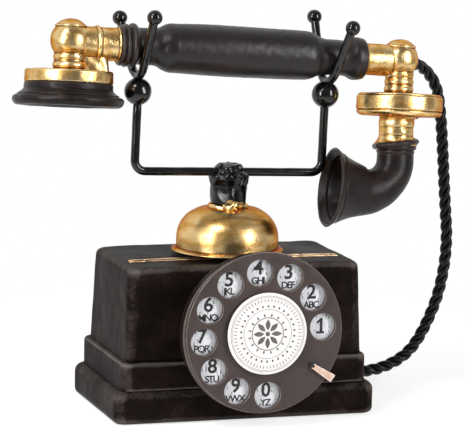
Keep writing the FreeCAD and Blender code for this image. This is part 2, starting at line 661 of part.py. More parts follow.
def make_cradle():
    foot = S.gong_top + S.collar_height + S.neck_gap
    bore = S.tube_radius + S.neck_bore_gap
    roof = S.tube_in_neck + S.neck_roof_gap
    wide = S.neck_top_radius
    neck = turned("neck_sleeve", [
        (bore, foot), (S.neck_foot_radius, foot), (S.neck_waist_radius, foot + S.neck_foot_height),
        (S.neck_waist_radius, S.neck_top - S.neck_foot_height), (wide, S.neck_top, S.neck_flare),
        (S.plunger_radius, S.neck_top), (S.plunger_radius, roof), (bore, roof)], line)
    keep("cradle_neck", cut("neck_cut", neck, bar_way("neck_wire_way")))
    cap = turned("cap_dome", [
        (0, S.neck_top), (wide, S.neck_top), (wide, S.neck_top + S.cap_edge),
        (wide - S.cap_shoulder, S.neck_top + S.cap_height - S.cap_edge, S.cap_shoulder_round),
        (0, S.neck_top + S.cap_height, dome_radius(wide - S.cap_shoulder, S.cap_edge))], line)
    keep("neck_cap", cut("cap_cut", cap, bar_way("cap_wire_way")))
    keep("cradle_bar", bar_body("bar"))
    balls, forks, tips = [], [], []
    for side, ball, foot_frame, radius, legs in fork_stands():
        forks.append(fork_body(side + "_fork", foot_frame, radius, legs))
        balls.append(cut(side + "_ball_cut", sphere(side + "_ball", S.ball_radius, ball),
                         fork_body(side + "_fork_way", foot_frame, radius, legs),
                         cylinder(side + "_post_way", S.wire_radius, S.ball_radius * 2,
                                  ball.moved(z=-S.wire_seat - S.ball_radius * 2))))
        for hand, word, leg in ((-1, "front", legs[0]), (1, "back", legs[1])):
            name = "%s_tip_%s" % (side, word)
            end = foot_frame.moved(z=radius).moved(axis=(1, 0, 0), angle=-hand * S.fork_angle)
            end = end.moved(y=hand * radius, z=leg)
            seat = cylinder(name + "_way", S.wire_radius, S.tip_radius * 2,
                            end.moved(z=-S.tip_radius * 2))
            knob = sphere(name + "_ball", S.tip_radius, end.moved(z=S.tip_radius - S.tip_seat))
            tips.append(cut(name, knob, seat))
    keep("cradle_forks", group("fork_pair", *forks))
    keep("cradle_balls", group("ball_pair", *balls))
    keep("fork_tips", group("tip_set", *tips))
    under = S.foot_height - S.foot_thickness
    rod_top = S.neck_top - S.wire_radius
    keep("plunger_rod", turned("plunger", [
        (0, under), (S.foot_radius, under), (S.foot_radius, S.foot_height),
        (S.plunger_radius, S.foot_height), (S.plunger_radius, rod_top), (0, rod_top)], line))
    keep("plunger_spring", turned("return_coil", [
        (S.spring_inner, S.seat_height), (S.spring_outer, S.seat_height),
        (S.spring_outer, under), (S.spring_inner, under)], line))


def bar_way(name):
    """Room for the bar's middle run."""
    length = S.neck_top_radius * 4
    return cylinder(name, S.wire_radius, length, cradle.moved(x=-length / 2).moved(**along_x))


def fork_stands():
    """Each fork's side, ball, frame at the lowest point of its wire, bend and leg lengths."""
    stands = []
    for side, sign, radius, rise, legs, lean, turn in (
            ("left", -1, S.left_fork_radius, S.left_fork_rise,
             (S.left_front_leg, S.left_back_leg), S.left_fork_lean, S.left_fork_turn),
            ("right", 1, S.right_fork_radius, S.right_fork_rise,
             (S.right_front_leg, S.right_back_leg), S.right_fork_lean, S.right_fork_turn)):
        ball = cradle.moved(x=sign * S.bar_half, z=S.ball_height)
        stand = ball.moved(axis=(0, 1, 0), angle=lean - S.cradle_tilt).moved(angle=turn)
        stands.append((side, ball, stand.moved(z=rise), radius, legs))
    return stands


def bar_body(name):
    """One bent wire: up from the middle bar at both ends."""
    body = doc.addObject("PartDesign::Body", name)
    path = new_sketch(body, name + "_path", "XZ_Plane")
    half, bend, top = S.bar_half, S.bar_bend, S.ball_height - S.wire_seat
    flat_half, flat_bend, flat_top = number(half), number(bend), number(top)
    corners = [Vector(-flat_half, flat_top, 0), Vector(-flat_half, flat_bend, 0),
               Vector(flat_bend - flat_half, 0, 0), Vector(flat_half - flat_bend, 0, 0),
               Vector(flat_half, flat_bend, 0), Vector(flat_half, flat_top, 0)]
    up = Vector(0, 0, 1)
    left_bend = Part.Circle(Vector(flat_bend - flat_half, flat_bend, 0), up, flat_bend)
    right_bend = Part.Circle(Vector(flat_half - flat_bend, flat_bend, 0), up, flat_bend)
    path.addGeometry(Part.LineSegment(corners[0], corners[1]), False)
    path.addGeometry(Part.ArcOfCircle(left_bend, math.pi, 1.5 * math.pi), False)
    path.addGeometry(Part.LineSegment(corners[2], corners[3]), False)
    path.addGeometry(Part.ArcOfCircle(right_bend, 1.5 * math.pi, 2 * math.pi), False)
    path.addGeometry(Part.LineSegment(corners[4], corners[5]), False)
    for first, second in ((0, 1), (1, 2), (2, 3), (3, 4)):
        path.addConstraint(Sketcher.Constraint("Coincident", first, 2, second, 1))
    rules = [("DistanceX", (-1, 1, 0, 1), -half), ("DistanceY", (-1, 1, 0, 1), top),
             ("DistanceX", (-1, 1, 0, 2), -half), ("DistanceY", (-1, 1, 0, 2), bend),
             ("DistanceX", (-1, 1, 2, 1), bend - half), ("DistanceX", (-1, 1, 2, 2), half - bend),
             ("DistanceX", (-1, 1, 4, 1), half), ("DistanceY", (-1, 1, 4, 1), bend),
             ("DistanceX", (-1, 1, 4, 2), half), ("DistanceY", (-1, 1, 4, 2), top),
             ("Radius", (1,), bend), ("Radius", (3,), bend)]
    for end in (1, 2):
        path.addConstraint(Sketcher.Constraint("PointOnObject", 2, end, -1))
    for kind, places, value in rules:
        spot = path.addConstraint(Sketcher.Constraint(kind, *places, number(value)))
        path.setExpression("Constraints[%d]" % spot, value.text)
    section = new_sketch(body, name + "_section", "XY_Plane", top)
    draw_circles(section, [(-half, 0, S.wire_radius)])
    doc.recompute()
    pipe = body.newObject("PartDesign::AdditivePipe", name + "_pipe")
    pipe.Profile = section
    pipe.Spine = (path, ["Edge%d" % (index + 1) for index in range(5)])
    return place(body, cradle)


def fork_body(name, frame, radius, lengths):
    """A wire U standing in its frame's YZ plane, its front and back legs leaning out."""
    ring = doc.addObject("Part::Torus", name + "_bend")
    bind(ring, Radius1=radius, Radius2=S.wire_radius, Angle3=180 - 2 * S.fork_angle)
    turn = frame.moved(z=radius).moved(axis=(0, 1, 0), angle=90)
    place(ring, turn.moved(angle=-(90 - S.fork_angle)))
    legs = []
    for hand, length in ((-1, lengths[0]), (1, lengths[1])):
        stem = frame.moved(z=radius).moved(axis=(1, 0, 0), angle=-hand * S.fork_angle)
        legs.append(cylinder("%s_leg_%d" % (name, hand + 1), S.wire_radius, length,
                             stem.moved(y=hand * radius)))
    return fuse(name, ring, *legs)


# Handset

def seat_points():
    """Where the handle's axis crosses the forks: its necks nearly touch both legs of each."""
    spread = S.neck_radius + S.wire_radius + S.seat_gap
    return [foot_frame.point(z=radius + (spread - radius) / sine(S.fork_angle))
            for side, ball, foot_frame, radius, legs in fork_stands()]


left_seat, right_seat = seat_points()
handle_tilt = math.degrees(math.atan2(left_seat.z - right_seat.z, right_seat.x - left_seat.x))
handle_height = left_seat.z + left_seat.x * math.tan(math.radians(handle_tilt))
handset = line.moved(z=handle_height).moved(axis=(0, 1, 0), angle=handle_tilt).moved(
    axis=(1, 0, 0), angle=S.handset_roll)
handle = handset.moved(**along_x)
receiver = handset.moved(x=-S.receiver_reach)
transmitter = handset.moved(x=S.transmitter_reach)
mouthpiece = transmitter.moved(x=-S.horn_offset, angle=S.horn_turn)


def make_handle():
    neck, full, end = S.neck_radius, S.grip_radius, S.grip_end_radius
    bore, flange, right_flange = S.handle_bore, S.left_flange_radius, S.right_flange_radius
    left, right = S.left_flange_end, S.right_flange_end
    keep("handle_grip", turned("grip", [
        (bore, left), (flange - 1.3, left), (flange - 1.0, left + 1.1, 1.0),
        (flange - 1.5, left + 1.4), (flange - 0.6, left + 1.9), (flange - 0.5, left + 3.1, 0.8),
        (flange - 1.1, left + 3.5), (flange - 0.1, left + 4.3), (flange, left + 5.6, 1.2),
        (flange - 0.6, left + 6.2), (neck, S.left_neck_from, -1.6), (neck, S.left_neck_to),
        (neck + 1.5, S.left_neck_to + 4.2, -7.5), (end, S.left_grip_from, 9.5),
        (full, (S.left_grip_from + S.right_grip_to) / 2, 900),
        (end + 0.15, S.right_grip_to, 900), (neck + 1.2, S.right_neck_from - 5.0, 12.0),
        (neck, S.right_neck_from, -14.0), (neck, S.right_neck_to),
        (right_flange - 0.7, right - 6.4, -9.0), (right_flange, right - 4.0, 3.6),
        (right_flange - 0.7, right, 16.0), (bore, right)], handle))


def make_ferrules():
    left, bore, end = S.left_ferrule_radius, S.ferrule_bore, S.left_flange_end
    bead, bead_at, bead_half = S.ferrule_bead, S.ferrule_bead_at, S.ferrule_bead_width / 2
    far = S.receiver_ball * 0.62 - S.receiver_reach
    left_sleeve = turned("left_sleeve", [
        (bore, far), (left, far), (left, bead_at - bead_half), (left + bead, bead_at - bead_half / 2),
        (left + bead, bead_at + bead_half / 2, 0.8), (left, bead_at + bead_half),
        (left, end), (bore, end)], handle)
    right, far = S.right_ferrule_radius, S.transmitter_reach
    right_sleeve = turned("right_sleeve", [
        (bore, S.right_flange_end), (right, S.right_flange_end), (right, far), (bore, far)],
        handle)
    elbow_ball, play = transmitter.moved(z=S.ball_lift), S.sleeve_play
    beads_room = cylinder("right_beads_room", S.transmitter_stem_radius + play, far / 4,
                          elbow_ball.moved(z=-far / 4))
    ring_room = cylinder("right_ring_room", S.dome_foot + 2 * S.elbow_edge, far / 4, elbow_ball)
    ball_room = sphere("right_ball_room", S.transmitter_ball, elbow_ball)
    keep("handle_ferrules", group(
        "ferrule_pair",
        cut("left_sleeve_cut", left_sleeve, receiver_stem("left_sleeve_room", 90)),
        cut("right_sleeve_cut", right_sleeve, ball_room, beads_room, ring_room)))


def elbow_outline(ball, foot_radius, foot, beads):
    """Domed cap, ring and ball above a beaded neck, down to the disc."""
    dome_foot, edge = S.dome_foot, S.elbow_edge
    dome_top = S.ball_lift + ball + S.dome_rise
    ring = S.ball_lift + root(ball * ball - dome_foot * dome_foot)
    ball_foot = S.ball_lift - root(ball * ball - foot_radius * foot_radius)
    outline = [(0, foot), (foot_radius + 2 * edge, foot)]
    step = (ball_foot - edge - foot) / len(beads)
    for index, bead in enumerate(beads):
        base = foot + step * index
        outline.append((foot_radius - edge, base + step * 0.25))
        outline.append((foot_radius - edge, base + step * 0.95, bead))
    outline += [(foot_radius, ball_foot), (dome_foot, ring, ball),
                (dome_foot + edge, ring + edge / 2), (dome_foot + edge, ring + edge * 2, edge),
                (dome_foot, ring + edge * 2.5),
                (0, dome_top, dome_radius(dome_foot, dome_top - ring - edge * 2.5))]
    return outline


def receiver_stem(name, seam=0):
    return turned(name, elbow_outline(S.receiver_ball, S.receiver_stem_radius,
                                      S.receiver_disc_top, (1.7, 2.6)),
                  receiver.moved(angle=seam))


def transmitter_stem(name):
    return turned(name, elbow_outline(S.transmitter_ball, S.transmitter_stem_radius,
                                      S.transmitter_disc_top, (2.0, 2.0, 2.6)), transmitter)


def make_receiver():
    top = S.receiver_disc_top
    bottom = top - S.receiver_disc_height
    disc, wall = S.receiver_disc_radius, S.cup_wall
    web_height = S.ball_lift - S.receiver_ball - top
    web = box("receiver_web", S.web_length, S.web_width, web_height * 2,
              receiver.moved(x=S.web_length / 2, z=top))
    sleeve_room = cylinder("receiver_sleeve_room", S.left_ferrule_radius + S.ferrule_bead * 1.5,
                           S.receiver_reach, handle.moved(z=S.receiver_ball * 0.62 - 2
                                                          - S.receiver_reach))
    keep("receiver_elbow", fuse("receiver_elbow_whole", receiver_stem("receiver_stem"),
                                cut("receiver_web_cut", web, sleeve_room)))
    soft, seat = 0.5, disc - wall - 0.2
    keep("receiver_cup", turned("receiver_disc", [
        (0, top - wall), (0, top), (disc - 2 * soft, top), (disc, top - 2 * soft, -2 * soft),
        (disc, bottom + soft), (disc - soft, bottom), (seat, bottom), (seat, top - wall)],
        receiver))
    rim, face = S.ear_cap_radius, bottom - S.ear_cap_height
    ear = turned("ear_dish", [
        (seat, bottom), (disc - 0.1, bottom), (disc + 0.1, bottom - 3.0),
        (rim - 2.3, face + 5.3, 7.0), (rim - 2.2, face + 5.3), (rim, face + 3.2, -2.4),
        (rim - 1.3, face + 0.4, -3.2), (rim - 2.2, face, -1.4), (rim - 4.3, face),
        (7.0, face + 4.0, 42.0), (0, face + 4.4, dome_radius(7, 0.4)), (0, face + 6.0),
        (seat - 1.2, face + 6.0),
        (seat - 1.2, bottom - S.diaphragm_thickness), (seat, bottom - S.diaphragm_thickness)],
        receiver)
    drill(ear, "ear_holes", [(S.ear_hole_circle, 0, S.ear_hole_radius)], 6, Size(360, "360"))
    drill(ear, "ear_centre", [(0, 0, S.ear_centre_hole)])
    keep("ear_cap", ear)
    low = bottom - S.diaphragm_thickness
    keep("receiver_diaphragm", turned("diaphragm", [
        (0, low), (seat, low), (seat, bottom), (0, bottom)], receiver))
    keep("receiver_magnet", box("magnet", S.magnet_length, S.magnet_width,
                                S.receiver_disc_height - wall - S.magnet_gap,
                                receiver.moved(z=bottom + S.magnet_gap)))


def make_transmitter():
    top = S.transmitter_disc_top
    bottom = top - S.transmitter_disc_height
    disc, neck, lap = S.transmitter_disc_radius, S.horn_neck_radius, S.disc_lap
    keep("transmitter_elbow", transmitter_stem("transmitter_stem"))
    wall, groove = S.cup_wall, S.disc_groove
    hollow, under, start = disc - wall - 0.6, bottom + wall, bottom - lap
    keep("transmitter_cup", turned("transmitter_disc", [
        (0, top - wall), (0, top), (disc - 1.4, top), (disc - 0.5, top - 0.5, -1.2),
        (disc - 0.5, top - 1.1), (disc, top - 1.6, -0.6), (disc, bottom + 2.6),
        (disc - groove, bottom + 2.4), (disc - groove, bottom + 2.0), (disc, bottom + 1.8),
        (disc - 2.6, bottom - 0.3, -2.6), (neck + 2.2, bottom - 0.3),
        (neck + 0.2, start, 2.4), (S.speech_bore, start),
        (S.speech_bore, under), (hollow, under), (hollow, top - wall)], transmitter))
    foot = bottom - S.horn_neck_length
    step = (start - foot) / 3
    flare = neck + S.horn_neck_flare
    keep("transmitter_neck", turned("speech_tube", [
        (S.speech_bore, start), (S.speech_bore, foot), (flare, foot), (flare, foot + 0.8, 0.6),
        (neck - 0.4, foot + step, -7.0), (neck - 0.4, foot + step + 0.3),
        (neck - 0.4, start - step - 0.3, 6.0), (neck - 0.4, start - step),
        (neck - 0.4, start - 0.3, 6.0), (neck - 0.4, start)], mouthpiece))
    keep("transmitter_capsule", turned("capsule", [
        (0, under + 0.6), (hollow - 1.2, under + 0.6), (hollow - 1.2, top - wall - 1.5),
        (hollow - 4.0, top - wall - 0.4), (0, top - wall - 0.4)], transmitter))
    ring, ring_foot = S.ring_radius, foot - S.ring_height
    middle = foot - S.ring_height * 0.55
    keep("mouthpiece_ring", turned("double_ring", [
        (S.speech_bore, ring_foot), (ring - 1.2, ring_foot), (ring - 1.1, middle - 0.2, 1.2),
        (ring - 0.9, middle), (ring - 0.4, middle + 0.1), (ring - 0.4, foot, 1.5),
        (S.speech_bore, foot)], mouthpiece))
    keep("mouthpiece_horn", horn(ring_foot))


def horn(start):
    """Curved horn: circles that grow along a bend, with a bore of the same form."""
    frame = mouthpiece.value
    bend, angle = number(S.horn_bend), math.radians(number(S.horn_angle))
    drop, reach = number(S.horn_drop), number(S.horn_reach)
    length = drop + bend * angle + reach
    origin = Vector(0, 0, number(start))

    def centre(way):
        """Point and heading at a distance along the horn's axis."""
        if way <= drop:
            return origin + Vector(0, 0, -way), 0.0
        turn = min((way - drop) / bend, angle)
        point = origin + Vector(bend * math.cos(turn) - bend, 0, -drop - bend * math.sin(turn))
        rest = max(way - drop - bend * angle, 0.0)
        return point + Vector(-math.sin(turn), 0, -math.cos(turn)) * rest, turn

    def circle(way, radius):
        point, turn = centre(way)
        heading = Vector(-math.sin(turn), 0, -math.cos(turn))
        ring = Part.Wire([Part.Circle(point, heading, radius).toShape()])
        return ring

    def radius_at(way):
        share = min(max(way / length, 0.0), 1.0)
        first, last = number(S.horn_start_radius), number(S.horn_mouth_radius)
        return first + (last - first) * share ** number(S.horn_growth)

    steps = 8
    wall = number(S.horn_wall)
    ways = [length * index / steps for index in range(steps + 1)]
    outer = Part.makeLoft([circle(way, radius_at(way)) for way in ways], True)
    inner_ways = [-1.0] + ways[1:-1] + [length + 1.0]
    inner = Part.makeLoft([circle(way, radius_at(way) - wall) for way in inner_ways], True)
    item = doc.addObject("Part::Feature", "horn_shell")
    item.Shape = outer.cut(inner)
    item.Placement = frame
    return item


# Dial

def dial_screw_places():
    return [dial.moved(angle=spin).moved(x=S.dial_screw_circle) for spin in (0, 120, 240)]


def dial_screw_shanks(name, radius):
    length = frame_front_top + S.dial_screw_depth
    return [cylinder("%s_%d" % (name, index), radius, length,
                     spot.moved(z=-S.dial_screw_depth))
            for index, spot in enumerate(dial_screw_places())]


def make_dial_case():
    wall, rim, depth = S.case_wall, S.case_radius, S.case_depth
    ledge = depth - S.plate_recess
    inner = rim - wall
    soft = wall / 3
    shell = turned("case", [
        (S.case_hole_radius, 0), (S.boss_radius, 0), (rim, S.case_flare, S.case_bulge),
        (rim, depth - soft), (rim - soft, depth), (inner, depth), (inner, ledge),
        (inner - S.case_ledge, ledge), (inner - S.case_ledge, S.case_flare),
        (S.case_floor_radius, S.case_floor, -S.case_bulge + S.case_ledge),
        (S.case_hole_radius, S.case_floor)], dial)
    keep("dial_case", cut("case_drilled", shell, *dial_screw_shanks("case_way",
                                                                   S.dial_screw_radius)))
    bore = S.shaft_radius + S.bearing_wall
    keep("number_plate", turned("spot_plate", [
        (bore, ledge), (S.plate_radius, ledge), (S.plate_radius, ledge + S.plate_thickness),
        (bore, ledge + S.plate_thickness)], dial))
    screws = []
    shanks = dial_screw_shanks("dial_shank", S.dial_screw_radius)
    for index, (spot, shank) in enumerate(zip(dial_screw_places(), shanks)):
        head = cylinder("dial_head_%d" % index, S.dial_screw_head, S.dial_screw_head_height,
                        spot.moved(z=frame_front_top))
        screws.append(fuse("dial_screw_%d" % index, shank, head))
    keep("dial_screws", group("dial_screw_set", *screws))
    stop = dial.moved(angle=S.stop_angle)
    top = wheel_front + S.stop_gap
    arm = box("stop_arm", S.stop_outer - S.stop_inner, S.stop_width, S.stop_thickness,
              stop.moved(x=(S.stop_outer + S.stop_inner) / 2, z=top))
    leg_inner = rim - wall / 4
    leg = box("stop_leg", S.stop_outer - leg_inner, S.stop_width,
              top + S.stop_thickness - S.stop_depth,
              stop.moved(x=(S.stop_outer + leg_inner) / 2, z=S.stop_depth))
    room = cylinder("stop_room", rim, depth, dial)
    keep("finger_stop", cut("stop_cut", fuse("stop_bent", arm, leg), room))


def make_finger_wheel():
    rim, edge = S.wheel_radius, S.wheel_edge
    wheel = turned("wheel", [
        (S.shaft_radius, wheel_back), (rim - edge, wheel_back),
        (rim, wheel_back + edge, edge), (rim, wheel_front - edge),
        (rim - edge, wheel_front, edge), (S.shaft_radius, wheel_front)], dial)
    spin = S.first_hole_angle
    first = (S.hole_circle * cosine(spin), S.hole_circle * sine(spin), S.finger_hole_radius)
    drill(wheel, "finger_holes", [first], S.hole_count, S.hole_pitch * (S.hole_count - 1))
    keep("finger_wheel", wheel)
    top = wheel_front + S.holder_height
    keep("card_holder", turned("holder", [
        (S.holder_bore, wheel_front), (S.holder_radius, wheel_front), (S.holder_radius, top),
        (S.holder_bore, top)], dial))
    face, edge = top + S.card_thickness, S.card_edge
    keep("dial_card", turned("card", [
        (0, top), (S.card_radius, top), (S.card_radius, face - edge),
        (S.card_radius - edge, face, edge), (0, face)], dial))
    shaft_end = frame_rear_back - S.shaft_end_play
    keep("dial_shaft", turned("shaft", [
        (0, shaft_end), (S.shaft_radius, shaft_end), (S.shaft_radius, wheel_front),
        (0, wheel_front)], dial))


def make_dial_frame():
    pillars = [dial.moved(angle=spin).moved(x=S.pillar_circle) for spin in (140, 245, 320)]
    bearing = S.shaft_radius + S.running_gap
    nose, nose_top = bearing + S.bearing_wall, frame_front_top + S.bearing_height
    front = turned("front_plate", [
        (bearing, frame_front), (S.frame_plate_radius, frame_front),
        (S.frame_plate_radius, frame_front_top), (nose, frame_front_top), (nose, nose_top),
        (bearing, nose_top)], dial)
    rear = turned("rear_plate", [
        (bearing, frame_rear_back), (S.frame_rear_radius, frame_rear_back),
        (S.frame_rear_radius, S.frame_rear), (bearing, S.frame_rear)], dial)
    posts = [cylinder("pillar_%d" % index, S.pillar_radius, frame_front - S.frame_rear,
                      spot.moved(z=S.frame_rear)) for index, spot in enumerate(pillars)]
    pivot = cylinder("governor_way", S.governor_shaft + S.running_gap,
                     nose_top - frame_rear_back, governor.moved(z=frame_rear_back))
    keep("dial_frame", cut("dial_frame_cut", fuse("dial_frame_whole", front, rear, *posts),
                           pivot, *dial_screw_shanks("frame_way", S.dial_screw_radius)))
    keep("dial_return_spring", spiral_spring())
    base = dial.moved(z=S.frame_rear)
    block = box("contact_block", S.contact_length, S.contact_width, cam_top - S.frame_rear,
                base.moved(x=S.contact_x, y=S.contact_y))
    inner = S.contact_x + S.contact_length / 2 - S.contact_blade
    blades = [box("contact_blade_%d" % index, S.contact_blade, S.contact_blade_length,
                  S.cam_thickness, dial.moved(x=inner - index * S.contact_blade_gap,
                                              y=S.contact_y + S.contact_width, z=cam_low))
              for index in range(2)]
    keep("pulse_contacts", fuse("contact_set", block, *blades))


def spiral_spring():
    """Flat spring: half turns of growing radius, wound round the shaft."""
    strip, width = number(S.dial_spring_strip), number(S.dial_spring_width)
    outer, turns = number(S.dial_spring_radius), int(number(S.dial_spring_turns))
    inner = number(S.dial_spring_start)
    step = (outer - inner) / turns
    low = number(frame_front_top + S.dial_spring_lift)

    def winding(offset):
        edges, centre, radius = [], 0.0, inner + offset
        for half in range(2 * turns):
            sign = 1 if half % 2 == 0 else -1
            start = Vector(centre + sign * radius, 0, low)
            middle = Vector(centre, sign * radius, low)
            end = Vector(centre - sign * radius, 0, low)
            edges.append(Part.Arc(start, middle, end).toShape())
            centre += sign * step / 2
            radius += step / 2
        return edges

    inside, outside = winding(0), winding(strip)
    caps = [Part.LineSegment(inside[0].Vertexes[0].Point, outside[0].Vertexes[0].Point),
            Part.LineSegment(inside[-1].Vertexes[-1].Point, outside[-1].Vertexes[-1].Point)]
    edges = inside + outside + [cap.toShape() for cap in caps]
    loop = Part.Wire(Part.__sortEdges__(edges))
    item = doc.addObject("Part::Feature", "clock_spring")
    item.Shape = Part.Face(loop).extrude(Vector(0, 0, width))
    item.Placement = dial.value
    return item


def toothed(name, teeth, phase, bore, low, thickness, frame):
    """Spur wheel with straight-sided teeth, bored for its shaft."""
    pitch = S.gear_module * teeth / 2
    tip, foot = pitch + S.gear_module * 0.75, pitch - S.gear_module * 1.2
    body = turned(name, [(bore, low), (foot, low), (foot, low + thickness),
                         (bore, low + thickness)], frame)
    doc.recompute()
    half = S.gear_module * math.pi / 4 - S.tooth_play
    sketch = new_sketch(body, name + "_tooth_sketch", "XY_Plane", low)
    draw_outline(sketch, [(foot - 0.3, half * -1.35), (tip, half * -0.45),
                          (tip, half * 0.45), (foot - 0.3, half * 1.35)])
    pad = body.newObject("PartDesign::Pad", name + "_tooth")
    pad.Profile = sketch
    bind(pad, Length=thickness)
    repeat(body, pad, sketch, teeth, Size(360, "360"))
    return place(body, frame.moved(angle=phase))


def make_train():
    tooth_angle = 180 / S.gear_teeth
    keep("main_gear", toothed("gear", S.gear_teeth, S.governor_angle - tooth_angle,
                              S.shaft_radius, gear_low, S.gear_thickness, dial))
    cam = turned("cam", [
        (S.shaft_radius, cam_low), (S.cam_radius, cam_low), (S.cam_radius, cam_top),
        (S.shaft_radius, cam_top)], dial)
    notch = (S.cam_radius * cosine(S.cam_phase), S.cam_radius * sine(S.cam_phase), S.cam_notch)
    drill(cam, "cam_notches", [notch], S.hole_count, S.hole_pitch * (S.hole_count - 1))
    keep("pulse_cam", cam)
    pin = S.governor_shaft
    pinion = toothed("pinion", S.pinion_teeth, 180, pin, gear_low, S.gear_thickness, governor)
    axle = turned("governor_axle", [
        (0, frame_rear_back), (pin, frame_rear_back), (pin, frame_front_top),
        (0, frame_front_top)], governor)
    keep("governor_shaft", fuse("governor_shaft_whole", axle, pinion))
    radius, low, wall = S.governor_radius, S.frame_rear, S.governor_cup_wall
    hub = pin + S.governor_cup_wall
    keep("governor_cup", turned("brake_cup", [
        (hub, low), (radius, low), (radius, cup_top), (radius - wall, cup_top),
        (radius - wall, low + wall), (hub, low + wall)], governor))
    reach, spot = radius - wall * 3.6, governor.moved(z=low + wall * 2.5)
    arm = cylinder("weight_arm", pin + wall * 1.8, wall * 2, spot)
    bar = box("weight_bar", 2 * reach, wall * 2, wall * 2, spot)
    ends = [cylinder("weight_%d" % side, wall * 1.9, wall * 4, spot.moved(x=side * reach))
            for side in (-1, 1)]
    way = cylinder("weight_way", pin, wall * 8, governor.moved(z=low))
    keep("governor_weights", cut("weights_cut", fuse("weights_whole", arm, bar, *ends), way))


# Ringer, hook switch and line parts inside the box

def cross_pin(name, radius, half, x, y, z):
    """Cylinder along Y, centred on a place."""
    return cylinder(name, radius, 2 * half, world.moved(x=x, y=y - half, z=z)
                    .moved(**facing_back))


def make_ringer():
    level, y, pivot = S.yoke_height, S.ringer_y, S.pivot_height
    bottom, ear_y = level + S.yoke_thickness, S.ear_reach - S.ear_thickness / 2
    yoke = box("yoke", 2 * (S.coil_x + S.coil_radius), 2 * S.coil_radius, S.yoke_thickness,
               world.moved(y=y, z=level))
    ears = [box("ear_%s" % word, 2 * S.ear_half, S.ear_thickness, pivot + S.ear_top - level,
                world.moved(y=y + side * ear_y, z=level))
            for word, side in (("front", -1), ("back", 1))]
    leg = box("ringer_leg", S.ringer_foot_width, S.ear_thickness, bottom - floor_level,
              world.moved(y=y + ear_y, z=floor_level))
    foot = box("ringer_foot", S.ringer_foot_width, S.ringer_foot_depth, S.bracket_thickness,
               world.moved(y=y + S.ear_reach - S.ringer_foot_depth / 2, z=floor_level))
    cores, coils = [], []
    for word, side in (("left", -1), ("right", 1)):
        spot = world.moved(x=side * S.coil_x, y=y)
        cores.append(cylinder("core_" + word, S.core_radius, S.core_top - level,
                              spot.moved(z=level)))
        top, flange = bottom + S.coil_height, S.coil_flange
        coils.append(turned("coil_" + word, [
            (S.core_radius, bottom), (S.coil_radius, bottom), (S.coil_radius, bottom + flange),
            (S.coil_waist, bottom + flange), (S.coil_waist, top - flange),
            (S.coil_radius, top - flange), (S.coil_radius, top), (S.core_radius, top)], spot))
    whole = fuse("ringer_whole", yoke, leg, foot, *(ears + cores))
    keep("ringer_frame", cut("ringer_frame_cut", whole,
                             cross_pin("ear_pin_way", S.pin_radius, S.ear_reach * 2, 0, y, pivot)))
    keep("ringer_coils", group("coil_pair", *coils))
    keep("clapper_pin", cross_pin("pivot_pin", S.pin_radius, S.ear_reach, 0, y, pivot))
    low = S.core_top + S.armature_gap
    half = S.ear_reach - S.ear_thickness - S.armature_side_gap
    bar = box("armature_bar", 2 * S.armature_half, 2 * half, S.armature_thickness,
              world.moved(y=y, z=low))
    hub = cross_pin("armature_hub", S.pin_radius + S.hub_wall, half, 0, y, pivot)
    bore = cross_pin("armature_bore", S.pin_radius + S.running_gap, S.ear_reach, 0, y, pivot)
    socket = cylinder("clapper_socket", S.clapper_radius, S.armature_thickness * 4,
                      clapper.moved(z=low))
    keep("armature", cut("armature_cut", fuse("armature_whole", bar, hub), bore, socket))
    ball, rod = S.clapper_ball, S.clapper_radius
    keep("clapper_rod", turned("clapper_stem", [
        (0, low), (rod, low), (rod, S.clapper_top - root(ball * ball - rod * rod)),
        (ball, S.clapper_top, ball), (0, S.clapper_top + ball, ball)], clapper))


def make_hook_switch():
    thick, y = S.bracket_thickness, S.line_y
    pivot_x, height, pin = S.lever_pivot_x, S.lever_height, S.pin_radius
    ear_y = S.lever_width / 2 + S.lever_ear_gap + S.lever_ear_thickness / 2
    ear_height = height + pin + S.hub_wall - floor_level
    foot = box("switch_foot", S.bracket_length, S.bracket_width, thick,
               world.moved(x=S.bracket_x, y=y, z=floor_level))
    post = box("spring_post", S.seat_width, S.seat_width, S.seat_height - floor_level,
               world.moved(y=y, z=floor_level))
    ears = [box("lever_ear_%s" % word, S.lever_ear_width, S.lever_ear_thickness, ear_height,
                world.moved(x=pivot_x, y=y + side * ear_y, z=floor_level))
            for word, side in (("front", -1), ("back", 1))]
    pin_half = ear_y + S.lever_ear_thickness
    axle = cross_pin("lever_axle", pin, pin_half, pivot_x, y, height)
    keep("hook_switch_bracket", fuse("switch_bracket_whole", foot, post, axle, *ears))
    tip_x = S.spring_outer + S.lever_thickness
    top = S.foot_height - S.foot_thickness - S.lever_gap
    arm = box("lever_arm", pivot_x - tip_x, S.lever_width, S.lever_thickness,
              world.moved(x=(pivot_x + tip_x) / 2, y=y, z=top - S.lever_thickness))
    hub = cross_pin("lever_hub", pin + S.hub_wall, S.lever_width / 2, pivot_x, y, height)
    web = box("lever_web", S.lever_thickness * 2, S.lever_width, top - height,
              world.moved(x=pivot_x, y=y, z=height))
    tail = box("lever_tail", S.lever_thickness, S.lever_width, S.lever_tail,
               world.moved(x=pivot_x, y=y, z=height - S.lever_tail))
    bore = cross_pin("lever_bore", pin + S.running_gap, pin_half, pivot_x, y, height)
    keep("hook_lever", cut("lever_cut", fuse("lever_whole", arm, hub, web, tail), bore))
    stack_low = floor_level + thick
    stack = box("switch_stack", S.switch_length, S.switch_width, S.switch_height,
                world.moved(x=S.switch_x, y=y, z=stack_low))
    blades = [box("switch_blade_%d" % index, S.blade_thickness, S.blade_width, S.blade_height,
                  world.moved(x=S.switch_x + (index - 1) * S.blade_pitch, y=y, z=stack_low))
              for index in range(3)]
    keep("hook_switch_springs", fuse("switch_springs_whole", stack, *blades))


